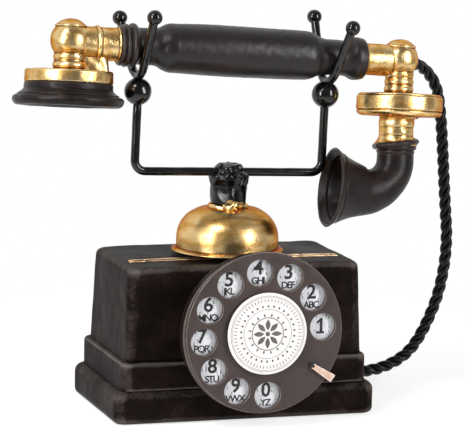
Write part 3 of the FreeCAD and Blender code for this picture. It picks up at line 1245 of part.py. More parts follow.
def make_line_parts():
    wide, waist, flange = S.induction_radius, S.induction_waist, S.induction_flange
    length = S.induction_length
    keep("induction_coil", turned("induction", [
        (0, 0), (wide, 0), (wide, flange), (waist, flange), (waist, length - flange),
        (wide, length - flange), (wide, length), (0, length)],
        world.moved(x=S.induction_gap - cavity_width / 2, y=S.induction_y,
                    z=floor_level + wide).moved(**along_x)))
    capacitor_x = S.capacitor_gap + (S.capacitor_length - cavity_width) / 2
    keep("capacitor", soft_plate("capacitor_can", S.capacitor_length, S.capacitor_width,
                                 S.capacitor_corner, S.capacitor_height,
                                 world.moved(x=capacitor_x, y=S.capacitor_y, z=floor_level)))
    board_x = (cavity_width - S.board_length) / 2 - S.board_gap
    board = world.moved(x=board_x, y=S.plinth_depth / 2 - S.board_back, z=floor_level)
    legs = [box("board_leg_%s" % word, S.board_leg_width, S.board_leg_depth, S.board_lift,
                board.moved(x=side * S.board_leg_x))
            for word, side in (("left", -1), ("right", 1))]
    deck = board.moved(z=S.board_lift)
    plank = box("board_deck", S.board_length, S.board_width, S.board_thickness, deck)
    ways = [cylinder("terminal_way_%d_%d" % (column + 1, row + 1), S.terminal_hole,
                     S.board_thickness,
                     deck.moved(x=column * S.terminal_pitch, y=row * S.terminal_row))
            for column in (-1, 0, 1) for row in (-1, 1)]
    keep("terminal_board", cut("board_cut", fuse("board_whole", plank, *legs), *ways))
    bush, flange = S.line_bush_radius, S.line_bush_flange
    outer = S.plinth_depth / 2
    inner = cavity_depth / 2 - tangent(S.body_draft) * (S.line_cord_z + bush + flange + 1)
    keep("line_cord_grommet", turned("line_bush", [
        (S.line_bore, inner - flange), (bush + flange, inner - flange), (bush + flange, inner),
        (bush, inner), (bush, outer), (bush + flange, outer),
        (bush + flange / 2, outer + S.line_bush_proud, 2.5),
        (S.line_bore, outer + S.line_bush_proud)],
        world.moved(x=S.line_cord_x, z=S.line_cord_z).moved(**facing_back)))


# Handset cord, with its bush at each end

bush_heading = (handset.value.Rotation.multVec(Vector(0.62, 0.78, 0))).normalize()
cord_lead, cord_landing = 9.6, 14.2
cord_places = [
    (107.1, 17.4, 158.0), (113.9, 19.3, 149.5), (116.6, 19.7, 134.7), (118.2, 19.8, 117.8),
    (120.2, 19.8, 92.8), (122.3, 19.5, 70.4), (119.0, 19.2, 47.7), (112.1, 18.9, 30.3),
    (103.9, 18.5, 17.4), (92.9, 18.2, 10.8)]


def make_cord():
    ball = transmitter.point(z=S.ball_lift)
    start = ball + bush_heading * number(S.handset_bush_reach)
    side = number(S.plinth_width) / 2 + number(S.base_bush_proud)
    end = Vector(side, number(S.cord_side_y), number(S.cord_side_z))
    route = [start, start + bush_heading * cord_lead]
    route += [Vector(x, y, z) for x, y, z in cord_places] + [end + Vector(cord_landing, 0, 0), end]
    wire, length, radii = tube_path(route)
    radius = number(S.cord_radius)
    cord = swept("cord_tube", wire, radius, start, bush_heading)
    keep("handset_cord", cord)
    doc.recompute()
    wanted = math.pi * radius * radius * length
    print("cord length %.1f, radii %s" % (length, " ".join("%.1f" % r for r in radii)))
    print("cord volume over section times length %.4f" % (cord.Shape.Volume / wanted))

    wide, narrow = S.cord_radius + S.handset_bush_wide, S.cord_radius + S.handset_bush_narrow
    length = number(S.handset_bush_length)
    stub = doc.addObject("Part::Feature", "handset_bush_cone")
    stub.Shape = Part.makeCone(number(wide), number(narrow), length,
                               start - bush_heading * length, bush_heading)
    ball_room = sphere("handset_bush_room", S.transmitter_ball, transmitter.moved(z=S.ball_lift))
    keep("handset_cord_bush", cut("handset_bush_cut", stub, ball_room))
    outer, bush, flange = S.plinth_width / 2, S.base_bush_radius, S.base_bush_flange
    inner, face = cavity_width / 2, outer + S.base_bush_proud
    keep("base_cord_bush", turned("base_bush", [
        (0, inner - flange), (bush - flange / 2, inner - flange), (bush, inner), (bush, outer),
        (bush + flange, outer), (bush + flange / 2, outer + flange, 1.4),
        (S.cord_radius + S.handset_bush_narrow, face), (0, face)],
        world.moved(y=S.cord_side_y, z=S.cord_side_z).moved(**along_x)))


make_housing()
make_bottom()
make_slot_frame()
make_bell()
make_cradle()
make_handle()
make_ferrules()
make_receiver()
make_transmitter()
make_dial_case()
make_finger_wheel()
make_dial_frame()
make_train()
make_ringer()
make_hook_switch()
make_line_parts()
make_cord()
doc.recompute()

# Checks, and the files

for item in doc.Objects:
    if "Invalid" in item.State or "Error" in item.State:
        raise ValueError("%s failed: %s" % (item.Name, item.State))
for label, item in nodes.items():
    if item.Shape.isNull() or not item.Shape.isValid() or item.Shape.Volume <= 0:
        raise ValueError("%s has no valid shape" % label)
for label, item in nodes.items():
    item.Shape.exportStep("parts/%s.step" % label)
print("%d sub-parts" % len(nodes))
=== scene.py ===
# Table telephone: its looks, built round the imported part, in metres in the part's own frame.
# Profiles and places below are in millimetres and become metres when a mesh is made.

import math

import bmesh
import bpy
import numpy as np
from mathutils import Matrix, Vector


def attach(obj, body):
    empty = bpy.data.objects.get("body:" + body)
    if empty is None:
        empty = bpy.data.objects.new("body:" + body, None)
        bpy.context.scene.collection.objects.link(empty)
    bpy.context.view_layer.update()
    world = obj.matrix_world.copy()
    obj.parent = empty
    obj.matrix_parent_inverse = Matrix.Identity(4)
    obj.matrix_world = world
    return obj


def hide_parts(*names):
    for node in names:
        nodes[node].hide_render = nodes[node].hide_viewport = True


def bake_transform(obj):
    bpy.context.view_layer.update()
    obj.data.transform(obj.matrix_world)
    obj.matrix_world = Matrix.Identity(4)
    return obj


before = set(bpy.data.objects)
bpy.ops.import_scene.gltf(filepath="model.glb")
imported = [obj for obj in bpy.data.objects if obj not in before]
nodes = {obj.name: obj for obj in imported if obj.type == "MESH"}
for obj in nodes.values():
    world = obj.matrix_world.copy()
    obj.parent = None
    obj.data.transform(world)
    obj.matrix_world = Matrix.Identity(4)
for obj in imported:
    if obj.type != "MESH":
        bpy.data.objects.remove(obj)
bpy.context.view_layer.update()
mm = 0.001
scene = bpy.context.scene
print("frame loaded:", len(nodes), "nodes")


# Camera, fitted to the edges of the box in the photograph

cameraLook = {"place": (-0.4167, -1.2888, 0.3005), "yaw": 18.03, "pitch": -8.78, "roll": 1.27,
              "lens": 222.8, "shift": (0.0024, -0.0011)}


def moved(base, x=0.0, y=0.0, z=0.0, axis="Z", angle=0.0):
    return base @ Matrix.Translation((x, y, z)) @ Matrix.Rotation(math.radians(angle), 4, axis)


cameraData = bpy.data.cameras.new("camera")
cameraData.lens = cameraLook["lens"]
cameraData.shift_x, cameraData.shift_y = cameraLook["shift"]
cameraData.clip_start, cameraData.clip_end = 0.05, 20
camera = bpy.data.objects.new("camera", cameraData)
scene.collection.objects.link(camera)
aim = moved(Matrix.Translation(cameraLook["place"]), angle=-cameraLook["yaw"])
aim = moved(moved(aim, axis="X", angle=90 + cameraLook["pitch"]), angle=cameraLook["roll"])
camera.matrix_world = aim
scene.camera = camera
scene.view_settings.view_transform = "Standard"


# Places of the assemblies

placing = {"lineY": -3.0, "dialFace": -39.0, "dialHeight": 45.3, "barHeight": 112.7,
           "cradleTilt": 1.6, "barHalf": 46.5, "ballHeight": 37.6, "handsetHeight": 169.929,
           "handsetTilt": 3.631, "handsetRoll": -7.5, "receiverAt": -78.5, "transmitterAt": 86.0,
           "ballLift": 0.7, "hornOffset": -1.0, "hornTurn": -3.0}
world = Matrix.Identity(4)
line = moved(world, y=placing["lineY"])
dial = moved(world, y=placing["dialFace"], z=placing["dialHeight"], axis="X", angle=90)
cradle = moved(line, z=placing["barHeight"], axis="Y", angle=placing["cradleTilt"])
handset = moved(line, z=placing["handsetHeight"], axis="Y", angle=placing["handsetTilt"])
handset = moved(handset, axis="X", angle=placing["handsetRoll"])
handle = moved(handset, axis="Y", angle=90)
receiver = moved(handset, x=placing["receiverAt"])
transmitter = moved(handset, x=placing["transmitterAt"])
mouthpiece = moved(transmitter, x=placing["hornOffset"], angle=placing["hornTurn"])


# Nodes and colours

# An sRGB hex colour made linear: a channel is divided by 12.92 near black, and above that
# it is ((c + 0.055) / 1.055) to the power 2.4
def colour(hexText):
    parts = np.array([int(hexText[i:i + 2], 16) for i in (0, 2, 4)]) / 255
    low, high = parts / 12.92, ((parts + 0.055) / 1.055) ** 2.4
    return (*np.where(parts <= 0.04045, low, high).tolist(), 1.0)


def addNode(tree, kind, values=None, links=None, **settings):
    node = tree.nodes.new(kind)
    for key, value in settings.items():
        setattr(node, key, value)
    for key, value in (values or {}).items():
        node.inputs[key].default_value = value
    for key, socket in (links or {}).items():
        tree.links.new(socket, node.inputs[key])
    return node


# A maths node; each input is a number or a socket
def mathNode(tree, operation, *inputs):
    numbers = {key: value for key, value in enumerate(inputs) if isinstance(value, (int, float))}
    sockets = {key: value for key, value in enumerate(inputs) if key not in numbers}
    return addNode(tree, "ShaderNodeMath", numbers, sockets, operation=operation).outputs[0]


# A noise whose patches are `size` mm wide
def noiseNode(tree, size, detail, vector, **more):
    return addNode(tree, "ShaderNodeTexNoise", {"Scale": 1 / (size * mm), "Detail": detail, **more},
                   {"Vector": vector}).outputs["Fac"]


# A value spread from start..end to low..high and held beyond them
def rangeNode(tree, value, start, end, low=0.0, high=1.0, **settings):
    return addNode(tree, "ShaderNodeMapRange", {"From Min": start, "From Max": end,
                                                "To Min": low, "To Max": high},
                   {"Value": value}, **settings).outputs["Result"]


def mixColours(tree, values, links):
    return addNode(tree, "ShaderNodeMix", values, links, data_type="RGBA").outputs[2]


def newMaterial(name):
    material = bpy.data.materials.new(name)
    material.use_nodes = True
    material.node_tree.nodes.clear()
    return material, material.node_tree


# Painted, lacquered and bare surfaces: two tones mottled over each other, a third tone along
# the ridges, partly rubbed wear and partly painted highlight, a fourth in the recesses as painted
# shade, a grain in the bump and an uneven polish. `sizes` in mm: one patch of mottling, one grain
# of the paint, one patch of polish. `bump`: its strength and its depth in mm. The span of the
# ridge tone: the bend where it starts and where it is whole, its most.
def surfaceMaterial(name, base, tone, sizes, gloss, bump, ridgeWearAndHighlight=None, rub=(0.3, 1.0, 1.0),
                    deep=None, metal=0.0, stretch=(1, 1, 1), toneSpan=(0.38, 0.62), specular=0.5,
                    sheen=None):
    material, tree = newMaterial(name)
    where = addNode(tree, "ShaderNodeTexCoord").outputs["Object"]
    stretched = addNode(tree, "ShaderNodeMapping", {"Scale": stretch},
                        {"Vector": where}).outputs["Vector"]
    mottle = noiseNode(tree, sizes[0], 6, stretched, Roughness=0.62)
    grain = noiseNode(tree, sizes[1], 4, stretched, Roughness=0.6)
    polish = noiseNode(tree, sizes[2], 3, where)
    share = rangeNode(tree, mottle, *toneSpan, interpolation_type="SMOOTHSTEP")
    paint = mixColours(tree, {6: colour(base), 7: colour(tone)}, {0: share})
    # The ridge tone is partly rubbed wear and partly painted highlight, the deep tone painted shade
    for form, shade, (start, end, most), patchy in (("edge", ridgeWearAndHighlight, rub, 0.9),
                                                    ("recess", deep, (0.15, 0.8, 0.85), 0.5)):
        if shade is None:
            continue
        bend = addNode(tree, "ShaderNodeAttribute", attribute_name=form).outputs["Fac"]
        patches = mathNode(tree, "MULTIPLY_ADD", mottle, patchy, -patchy / 2)
        grit = mathNode(tree, "MULTIPLY_ADD", grain, patchy * 0.7, -patchy * 0.35)
        rough = mathNode(tree, "ADD", bend, mathNode(tree, "ADD", patches, grit))
        amount = rangeNode(tree, rough, start, end, high=most)
        paint = mixColours(tree, {7: colour(shade)}, {0: amount, 6: paint})
    relief = addNode(tree, "ShaderNodeBump", {"Strength": bump[0], "Distance": bump[1] * mm},
                     {"Height": mathNode(tree, "MULTIPLY_ADD", mottle, 0.5, grain)})
    shader = addNode(tree, "ShaderNodeBsdfPrincipled",
                     {"Metallic": metal, "Specular IOR Level": specular, **(sheen or {})},
                     {"Base Color": paint, "Normal": relief.outputs["Normal"],
                      "Roughness": rangeNode(tree, polish, 0.3, 0.7, *gloss)})
    addNode(tree, "ShaderNodeOutputMaterial", {}, {"Surface": shader.outputs["BSDF"]})
    return material


# Cast iron under brushed black enamel: near-black with a warm red-brown cast in soft patches,
# satin, grey-brown along the ridges: partly rubbed wear, partly painted highlight; blacker in the
# recesses: painted shade.
castEnamel = surfaceMaterial(
    "castIronBrushedEnamel", "17110f", "201816", (14, 0.9, 22), (0.38, 0.5), (0.45, 0.12),
    "7c736d", (0.1, 1.3, 0.85), "080606", specular=0.025)
# Turned ebonite, hand rubbed: more sheen than the enamel, a little browner, with fine grain.
# Brown along its ridges: partly rubbed wear, partly painted highlight; blacker in its recesses:
# painted shade.
turnedEbonite = surfaceMaterial(
    "turnedEbonite", "151010", "211817", (9, 0.8, 16), (0.36, 0.45), (0.45, 0.08),
    "5c4d46", (0.5, 1.8, 0.5), "080606", stretch=(0.5, 1, 1), specular=0.42)
# Moulded ebonite of horn and ear cap: duller than the turned grip, its edges brown: partly
# rubbed wear, partly painted highlight; blacker in its recesses: painted shade.
mouldedEbonite = surfaceMaterial(
    "mouldedEbonite", "151010", "221918", (7, 0.7, 12), (0.32, 0.44), (0.6, 0.1),
    "54463f", (0.45, 1.6, 0.5), "070505", specular=0.2)
# The lacquer on the gilt: a faint glaze, and a deep orange where the metal turns away
giltSheen = {"Specular Tint": colour("b06a28"), "Coat Weight": 0.12, "Coat Roughness": 0.2}
# Gilt paint brushed on brass: warm gold with brighter strokes, cream along its ridges: painted
# highlight, and bronze in its recesses: painted shade.
brushedGilt = surfaceMaterial(
    "brassBrushedGilt", "d8aa62", "efd097", (4.5, 0.9, 6), (0.2, 0.38), (0.6, 0.18),
    "f6dfa8", (0.5, 1.4, 0.85), "6e3c14", 1.0, sheen=giltSheen)
# Bell of the same gilt, brushed round the dome: longer strokes, cream along its ridges:
# painted highlight, and a deep orange bronze in its hollows: painted shade.
bellGilt = surfaceMaterial(
    "bellBrassGilt", "d2a45e", "ebcb91", (7, 0.65, 10), (0.22, 0.36), (0.55, 0.12),
    "edcd92", (0.7, 1.6, 0.6), "6b3a15", 1.0, (0.5, 0.5, 1.6), sheen=giltSheen)
# Copper-toned gilt line, worn thin, on the frame of the slot: pale along its ridges: painted
# highlight, and dark in its recesses: painted shade.
wornGilt = surfaceMaterial(
    "copperWornGilt", "b98150", "e0b486", (9, 0.6, 5), (0.3, 0.5), (0.5, 0.1), "efcfa6",
    deep="3a2616", metal=1.0)
# Stoved black lacquer on steel wire: deep black, wet gloss.
wetLacquer = surfaceMaterial(
    "steelStovedLacquer", "080707", "0d0b0b", (10, 1.6, 9), (0.1, 0.19), (0.12, 0.05))
# The same lacquer laid thick over a crumpled wrapping: glossier folds.
foldedLacquer = surfaceMaterial(
    "wrappingThickLacquer", "080707", "0f0c0c", (4, 1.4, 4), (0.12, 0.26), (0.3, 0.12),
    specular=0.35)
# Steel finger wheel in dark bronze lacquer: taupe, satin, with a faint red cast.
wheelBronze = surfaceMaterial(
    "steelBronzeLacquer", "3e3533", "453b39", (12, 0.5, 18), (0.34, 0.44), (0.12, 0.05),
    specular=0.25)
# On the bevels of the rim and holes, a pale grey-brown line: partly the same lacquer rubbed
# through, partly painted highlight.
wheelEdgeWearAndHighlight = surfaceMaterial(
    "steelRubbedBronzeAndHighlight", "8d807a", "6a5d58", (6, 0.5, 6), (0.3, 0.45), (0.2, 0.05), metal=0.3)
# Silvered number spots: white metal leaf, blotched with the black that shows through.
silverSpots = surfaceMaterial(
    "silverLeafBlotched", "e2e3e7", "3c3c41", (1.6, 0.4, 2), (0.3, 0.45), (0.8, 0.14),
    metal=0.1, stretch=(1.6, 1.6, 0.5), toneSpan=(0.55, 0.65))
# Printer's ink on the spots and the card: flat black, slightly brown, and a grey one.
blackInk = surfaceMaterial(
    "printersInk", "0f0d0d", "191615", (2, 0.4, 3), (0.4, 0.55), (0.1, 0.02))
greyInk = surfaceMaterial(
    "printersGreyInk", "57504e", "6a6260", (2, 0.4, 3), (0.5, 0.6), (0.1, 0.02))
# Glazed card: warm white paper, almost even.
glazedCard = surfaceMaterial(
    "glazedPaper", "f1ecea", "ebe5e2", (8, 0.4, 9), (0.4, 0.5), (0.08, 0.03))
# Nickel plate gone pinkish with age: matt metal, paler along its ridges: painted highlight, and
# brown in its recesses: painted shade.
agedNickel = surfaceMaterial(
    "agedNickelPlate", "dcbfae", "c9a793", (3, 0.6, 3), (0.38, 0.52), (0.3, 0.06), "efdccf",
    deep="6b4c3c", metal=0.6)
# Soft rubber of the bushes: matt, charcoal.
softRubber = surfaceMaterial(
    "softRubber", "131212", "1b1919", (4, 0.5, 5), (0.55, 0.7), (0.25, 0.05))
# Inner works: bright steel, blued steel, brass, aluminium, fibre board, felt, enamelled wire.
brightSteel = surfaceMaterial(
    "brightSteel", "a9aaad", "97989c", (5, 0.3, 4), (0.28, 0.42), (0.15, 0.03), metal=1.0)
bluedSteel = surfaceMaterial(
    "bluedSteel", "4a5060", "3a3d4a", (3, 0.3, 4), (0.25, 0.4), (0.1, 0.03), metal=1.0)
turnedBrass = surfaceMaterial(
    "turnedBrass", "c79a4e", "b2853c", (4, 0.3, 4), (0.25, 0.4), (0.12, 0.03), metal=1.0)
canAluminium = surfaceMaterial(
    "drawnAluminium", "b9babc", "a6a8ab", (6, 0.3, 5), (0.3, 0.45), (0.1, 0.03), metal=1.0)
fibreBoard = surfaceMaterial(
    "vulcanisedFibre", "4a2418", "5a3020", (3, 0.4, 5), (0.5, 0.65), (0.25, 0.05))
woolFelt = surfaceMaterial(
    "woolFelt", "22301f", "2c3b28", (2, 0.35, 5), (0.85, 0.95), (0.8, 0.2))
copperWinding = surfaceMaterial(
    "enamelledCopperWire", "6b2f1b", "82402a", (3, 0.3, 4), (0.3, 0.45), (0.4, 0.08),
    metal=0.5, stretch=(1, 1, 6))


# Black waxed cotton of the cord: satin, with fine yarns running a little across each strand.
# The yarns follow the strand's own map: u is the way along it in metres, v once round it.
def cottonMaterial(name, base, tone, yarnLay, yarns, gloss):
    material, tree = newMaterial(name)
    where = addNode(tree, "ShaderNodeUVMap", uv_map="strandMap").outputs["UV"]
    turned = addNode(tree, "ShaderNodeMapping", {"Scale": (1 / (yarnLay * mm), 1, 1)},
                     {"Vector": where}).outputs["Vector"]
    parts = addNode(tree, "ShaderNodeSeparateXYZ", {}, {0: turned}).outputs
    slant = mathNode(tree, "ADD", parts[0], parts[1])
    wave = mathNode(tree, "SINE", mathNode(tree, "MULTIPLY", slant, yarns * math.tau))
    fuzz = noiseNode(tree, 0.5, 3, addNode(tree, "ShaderNodeTexCoord").outputs["Object"])
    height = mathNode(tree, "MULTIPLY_ADD", wave, 0.3, fuzz)
    # The yarn crowns a little lighter than the grooves between them: painted shade in the grooves
    paint = mixColours(tree, {6: colour(base), 7: colour(tone)},
                       {0: rangeNode(tree, height, 0.2, 1.0)})
    bump = addNode(tree, "ShaderNodeBump", {"Strength": 0.5, "Distance": 0.12 * mm},
                   {"Height": height})
    shader = addNode(tree, "ShaderNodeBsdfPrincipled",
                     {"Roughness": gloss, "Specular IOR Level": 0.22},
                     {"Base Color": paint, "Normal": bump.outputs["Normal"]})
    addNode(tree, "ShaderNodeOutputMaterial", {}, {"Surface": shader.outputs["BSDF"]})
    return material


waxedCotton = cottonMaterial("waxedCottonCord", "080707", "121010", 9, 9, 0.3)
print("materials made")

# What the pieces of one substance share
enamelled = {"material": castEnamel, "body": "base", "slot": "black_enamel"}
bellGilded = {"material": brushedGilt, "body": "base", "slot": "bell_gilt"}
handGilded = {"material": brushedGilt, "body": "handset", "slot": "handset_gilt"}
moulded = {"material": mouldedEbonite, "body": "handset", "slot": "horn_black"}
lacquered = {"material": wetLacquer, "body": "cradle", "slot": "gloss_black_lacquer"}
wrapped = {**lacquered, "material": foldedLacquer}


# Surfaces worked out as whole arrays

# Corners (r, z), or (r, z, radius) for an arc that ends there: its centre lies that radius
# from both ends, to the left of the way travelled, or to the right where it is negative
def outline(corners, steps=12):
    points = [np.array([corners[0][:2]], float)]
    for start, target in zip(corners, corners[1:]):
        first, last = np.array(start[:2], float), np.array(target[:2], float)
        if len(target) < 3:
            points.append(last[None])
            continue
        chord = last - first
        size = np.hypot(*chord)
        rise = math.sqrt(max(target[2] ** 2 - size * size / 4, 0.0))
        side = np.array([-chord[1], chord[0]]) / size * math.copysign(rise, target[2])
        centre = (first + last) / 2 + side
        begin = math.atan2(*(first - centre)[::-1])
        sweep = (math.atan2(*(last - centre)[::-1]) - begin + math.pi) % math.tau - math.pi
        angles = begin + sweep * np.arange(1, steps + 1) / steps
        points.append(centre + abs(target[2]) * np.stack([np.cos(angles), np.sin(angles)], 1))
    return np.vstack(points)


def ballProfile(radius):
    return [(0, -radius), (radius, 0, radius), (0, radius, radius)]


# Points (cos t, sin t) of a circle, turned by a share of one step
def circle(count, shift=0.0):
    turn = math.tau * (np.arange(count) + shift) / count
    return np.stack([np.cos(turn), np.sin(turn)], 1)


# A path laid out again at even steps along its length, and that length
def resampled(path, step, least=4):
    gaps = np.linalg.norm(np.diff(path, axis=0), axis=1)
    path, gaps = path[np.r_[True, gaps > 1e-9]], gaps[gaps > 1e-9]
    ways = np.r_[0, np.cumsum(gaps)]
    even = np.linspace(0, ways[-1], max(int(ways[-1] / step), least) + 1)
    return np.stack([np.interp(even, ways, column) for column in path.T], 1), ways[-1]


# A profile at even steps, each point then the mean of its neighbours under a bell curve `blur`
# mm wide, so that every corner is rounded; a closed one wraps round, an open one keeps its ends
def softened(profile, step=0.4, blur=0.3, closed=False):
    points = np.vstack([profile, profile[:1]]) if closed else np.array(profile, float)
    fine = resampled(points, step, 12)[0]
    reach = min(int(math.ceil(3 * blur / step)), len(fine) - 2)
    weights = np.exp(-0.5 * (np.arange(-reach, reach + 1) * step / blur) ** 2)
    weights /= weights.sum()
    if closed:
        fine = fine[:-1]
        padded = np.vstack([fine[-reach:], fine, fine[:reach]])
    else:
        padded = np.vstack([2 * fine[:1] - fine[reach:0:-1], fine,
                            2 * fine[-1:] - fine[-2:-reach - 2:-1]])
    return np.stack([np.convolve(column, weights, "valid") for column in padded.T], 1)


# Sine waves in random directions, mostly within -1 to 1: sum of sin(k.p + phase) over root
# count, where k points any way and is 2 pi / wavelength long, times 0.7 to 1.4; creased gives
# 1 - 2.2 mean |sin|
def waves(points, wavelength, seed, count=14, creased=False):
    chance = np.random.default_rng(seed)
    ways = chance.normal(size=(count, 3))
    ways *= math.tau / wavelength / np.linalg.norm(ways, axis=1)[:, None]
    ways *= chance.uniform(0.7, 1.4, (count, 1))
    sines = np.sin(points @ ways.T + chance.uniform(0, math.tau, count))
    if creased:
        return 1 - 2.2 * np.abs(sines).mean(-1)
    return sines.sum(-1) / math.sqrt(count)


# Central differences of a grid along one of its two ways, round the seam where it wraps
def slope(grid, way, wraps):
    if wraps:
        return (np.roll(grid, -1, way) - np.roll(grid, 1, way)) / 2
    return np.gradient(grid, axis=way)


# Unit normals of a grid P(u, v): the cross product of its two slopes, turned outwards
def normalsOf(grid, wraps):
    along, across = slope(grid, 0, wraps[0]), slope(grid, 1, wraps[1])
    cross = np.cross(along, across)
    middle = grid.reshape(-1, 3).mean(0)
    cross *= np.sign(((grid - middle) * cross).sum()) or 1.0
    return along, across, cross / np.maximum(np.linalg.norm(cross, axis=2, keepdims=True), 1e-9)


# How sharply a grid bends, in 1/mm: the slope of its normal over the slope of its points, both
# ways added; above nought on a ridge and below it in a groove
def bending(grid, wraps):
    along, across, normals = normalsOf(grid, wraps)
    total = 0
    for way, step in ((0, along), (1, across)):
        turn = slope(normals, way, wraps[way])
        total = total + (turn * step).sum(2) / np.maximum((step * step).sum(2), 1e-4)
    return np.clip(np.nan_to_num(total), -3, 3)


def placed(points, base):
    turn = np.array(base)
    return points @ turn[:3, :3].T + turn[:3, 3]


# The node that a piece stands for: the one of the piece's own name, where there is one
def ownNode(name):
    word = "".join("_" + letter.lower() if letter.isupper() else letter for letter in name)
    return [word] if word in nodes else []


def meshPiece(name, points, faces, material, body=None, stands=None, slot=None,
              attributes=None, base=world, smooth=True):
    mesh = bpy.data.meshes.new(name)
    mesh.from_pydata(placed(points.reshape(-1, 3), base) * mm, [], faces)
    for key, values in (attributes or {}).items():
        layer = mesh.attributes.new(key, "FLOAT", "POINT")
        layer.data.foreach_set("value", values.astype(np.float32).ravel())
    shape = bmesh.new()
    shape.from_mesh(mesh)
    bmesh.ops.remove_doubles(shape, verts=shape.verts, dist=1e-6)
    bmesh.ops.recalc_face_normals(shape, faces=shape.faces)
    shape.to_mesh(mesh)
    shape.free()
    mesh.polygons.foreach_set("use_smooth", np.full(len(mesh.polygons), smooth))
    mesh.materials.append(material)
    piece = bpy.data.objects.new(name, mesh)
    scene.collection.objects.link(piece)
    if body:
        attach(piece, body)
        stands = stands or ownNode(name)
    if stands:
        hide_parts(*stands)
    return piece


# Values of one kind for a mesh's vertices, faces or corners, as an array
def valuesOf(items, key, width=1, kind=float):
    flat = np.empty(len(items) * width, kind)
    items.foreach_get(key, flat)
    return flat.reshape(-1, width) if width > 1 else flat


# Points in mm and faces of a curve or a text
def meshOf(data):
    holder = bpy.data.objects.new(data.name, data)
    scene.collection.objects.link(holder)
    bpy.context.view_layer.update()
    mesh = bpy.data.meshes.new_from_object(holder)
    points = valuesOf(mesh.vertices, "co", 3) / mm
    faces = [list(face.vertices) for face in mesh.polygons]
    bpy.data.objects.remove(holder)
    bpy.data.meshes.remove(mesh)
    return points, faces


# Quads of a grid of rows and columns, joined round each way that wraps
def gridFaces(rows, columns, wraps, first=0):
    index = first + np.arange(rows * columns).reshape(rows, columns)
    if wraps[0]:
        index = np.vstack([index, index[:1]])
    if wraps[1]:
        index = np.hstack([index, index[:, :1]])
    corners = [index[:-1, :-1], index[:-1, 1:], index[1:, 1:], index[1:, :-1]]
    return np.stack(corners, -1).reshape(-1, 4)


# Grids, each with its own wraps, as one array of points and one list of quads
def joined(grids, wraps):
    points, faces, total = [], [], 0
    for grid, way in zip(grids, wraps):
        points.append(grid.reshape(-1, 3))
        faces.append(gridFaces(*grid.shape[:2], way, total))
        total += len(points[-1])
    return np.vstack(points), np.vstack(faces).tolist()


# Grids made one mesh, pushed along their normals by uneven(points), or by (amount, wavelength,
# seed) of plain waves, with their ridges and grooves kept as the attributes edge and recess:
# 0 below 0.08/mm, 1 at 0.75/mm
def surface(name, grids, wraps, uneven=None, **how):
    if isinstance(uneven, tuple):
        amount, chance = uneven[0], uneven[1:]
        uneven = lambda points: amount * waves(points, *chance)
    if uneven:
        grids = [grid + normalsOf(grid, wraps)[2] * uneven(grid)[..., None] for grid in grids]
    bend = np.concatenate([bending(grid, wraps).ravel() for grid in grids])
    return meshPiece(name, *joined(grids, [wraps] * len(grids)), attributes={
        "edge": np.clip((bend - 0.08) / 0.67, 0, 1),
        "recess": np.clip((-bend - 0.08) / 0.67, 0, 1)}, **how)


# A profile turned round Z: (r cos t, r sin t, z)
def turnedGrid(profile, base=world, columns=128, step=0.4, blur=0.3):
    closed = profile[0][0] > 0 and profile[-1][0] > 0
    rows = softened(outline(profile), step, blur, closed)
    heights = np.repeat(rows[:, 1:], columns, 1)[..., None]
    grid = np.concatenate([rows[:, :1, None] * circle(columns), heights], -1)
    return placed(grid, base), closed


def turnedPiece(name, profiles, uneven=None, columns=128, step=0.4, blur=0.3, **how):
    made = [turnedGrid(profile, base, columns, step, blur) for profile, base in profiles]
    return surface(name, [grid for grid, closed in made], (made[0][1], True), uneven, **how)


# Takes turned shapes out of a closed piece
def cutThrough(piece, shapes):
    grids = [turnedGrid(profile, base, 28, 0.5, 0.02)[0] for profile, base in shapes]
    cutter = surface("cutter", grids, (False, True), material=piece.data.materials[0])
    step = piece.modifiers.new("holes", "BOOLEAN")
    step.object, step.operation, step.solver = cutter, "DIFFERENCE", "EXACT"
    bpy.context.view_layer.update()
    seen = piece.evaluated_get(bpy.context.evaluated_depsgraph_get())
    made = bpy.data.meshes.new_from_object(seen)
    piece.modifiers.clear()
    piece.data = made
    made.set_sharp_from_angle(angle=math.radians(40))
    bpy.data.objects.remove(cutter)


# Tangent of a path and two unit vectors across it; the first is the reference with its part
# along the path taken off
def acrossPath(path, reference):
    heading = np.gradient(path, axis=0)
    heading /= np.linalg.norm(heading, axis=1)[:, None]
    side = reference - (heading @ reference)[:, None] * heading
    side /= np.linalg.norm(side, axis=1)[:, None]
    return heading, side, np.cross(heading, side)


# Rows with the first and the last of them repeated
def held(rows, count):
    return np.pad(rows, ((count, count), (0, 0)), "edge")


# Circles square to a line: centre + r (side cos t + other sin t)
def ringGrid(centres, side, other, radii, columns):
    way = circle(columns)
    ring = side[:, None] * way[:, :1] + other[:, None] * way[:, 1:]
    return centres[:, None] + ring * radii[:, None, None]


# A round tube along a path, its ends drawn in to a point over a quarter circle
def tubeGrid(path, radius, reference, columns=32, endSteps=6):
    heading, side, other = acrossPath(path, np.array(reference, float))
    bow = np.linspace(0, math.pi / 2, endSteps)
    shrink, push = radius * np.sin(bow), radius * np.cos(bow)
    centres = np.vstack([path[0] - heading[0] * push[:, None], path[1:-1],
                         path[-1] + heading[-1] * push[::-1, None]])
    radii = np.concatenate([shrink, np.full(len(path) - 2, radius), shrink[::-1]])
    return ringGrid(centres, held(side, endSteps - 1), held(other, endSteps - 1), radii, columns)


# Handset cord: three strands laid round a smooth spline from the handset's bush to the base's

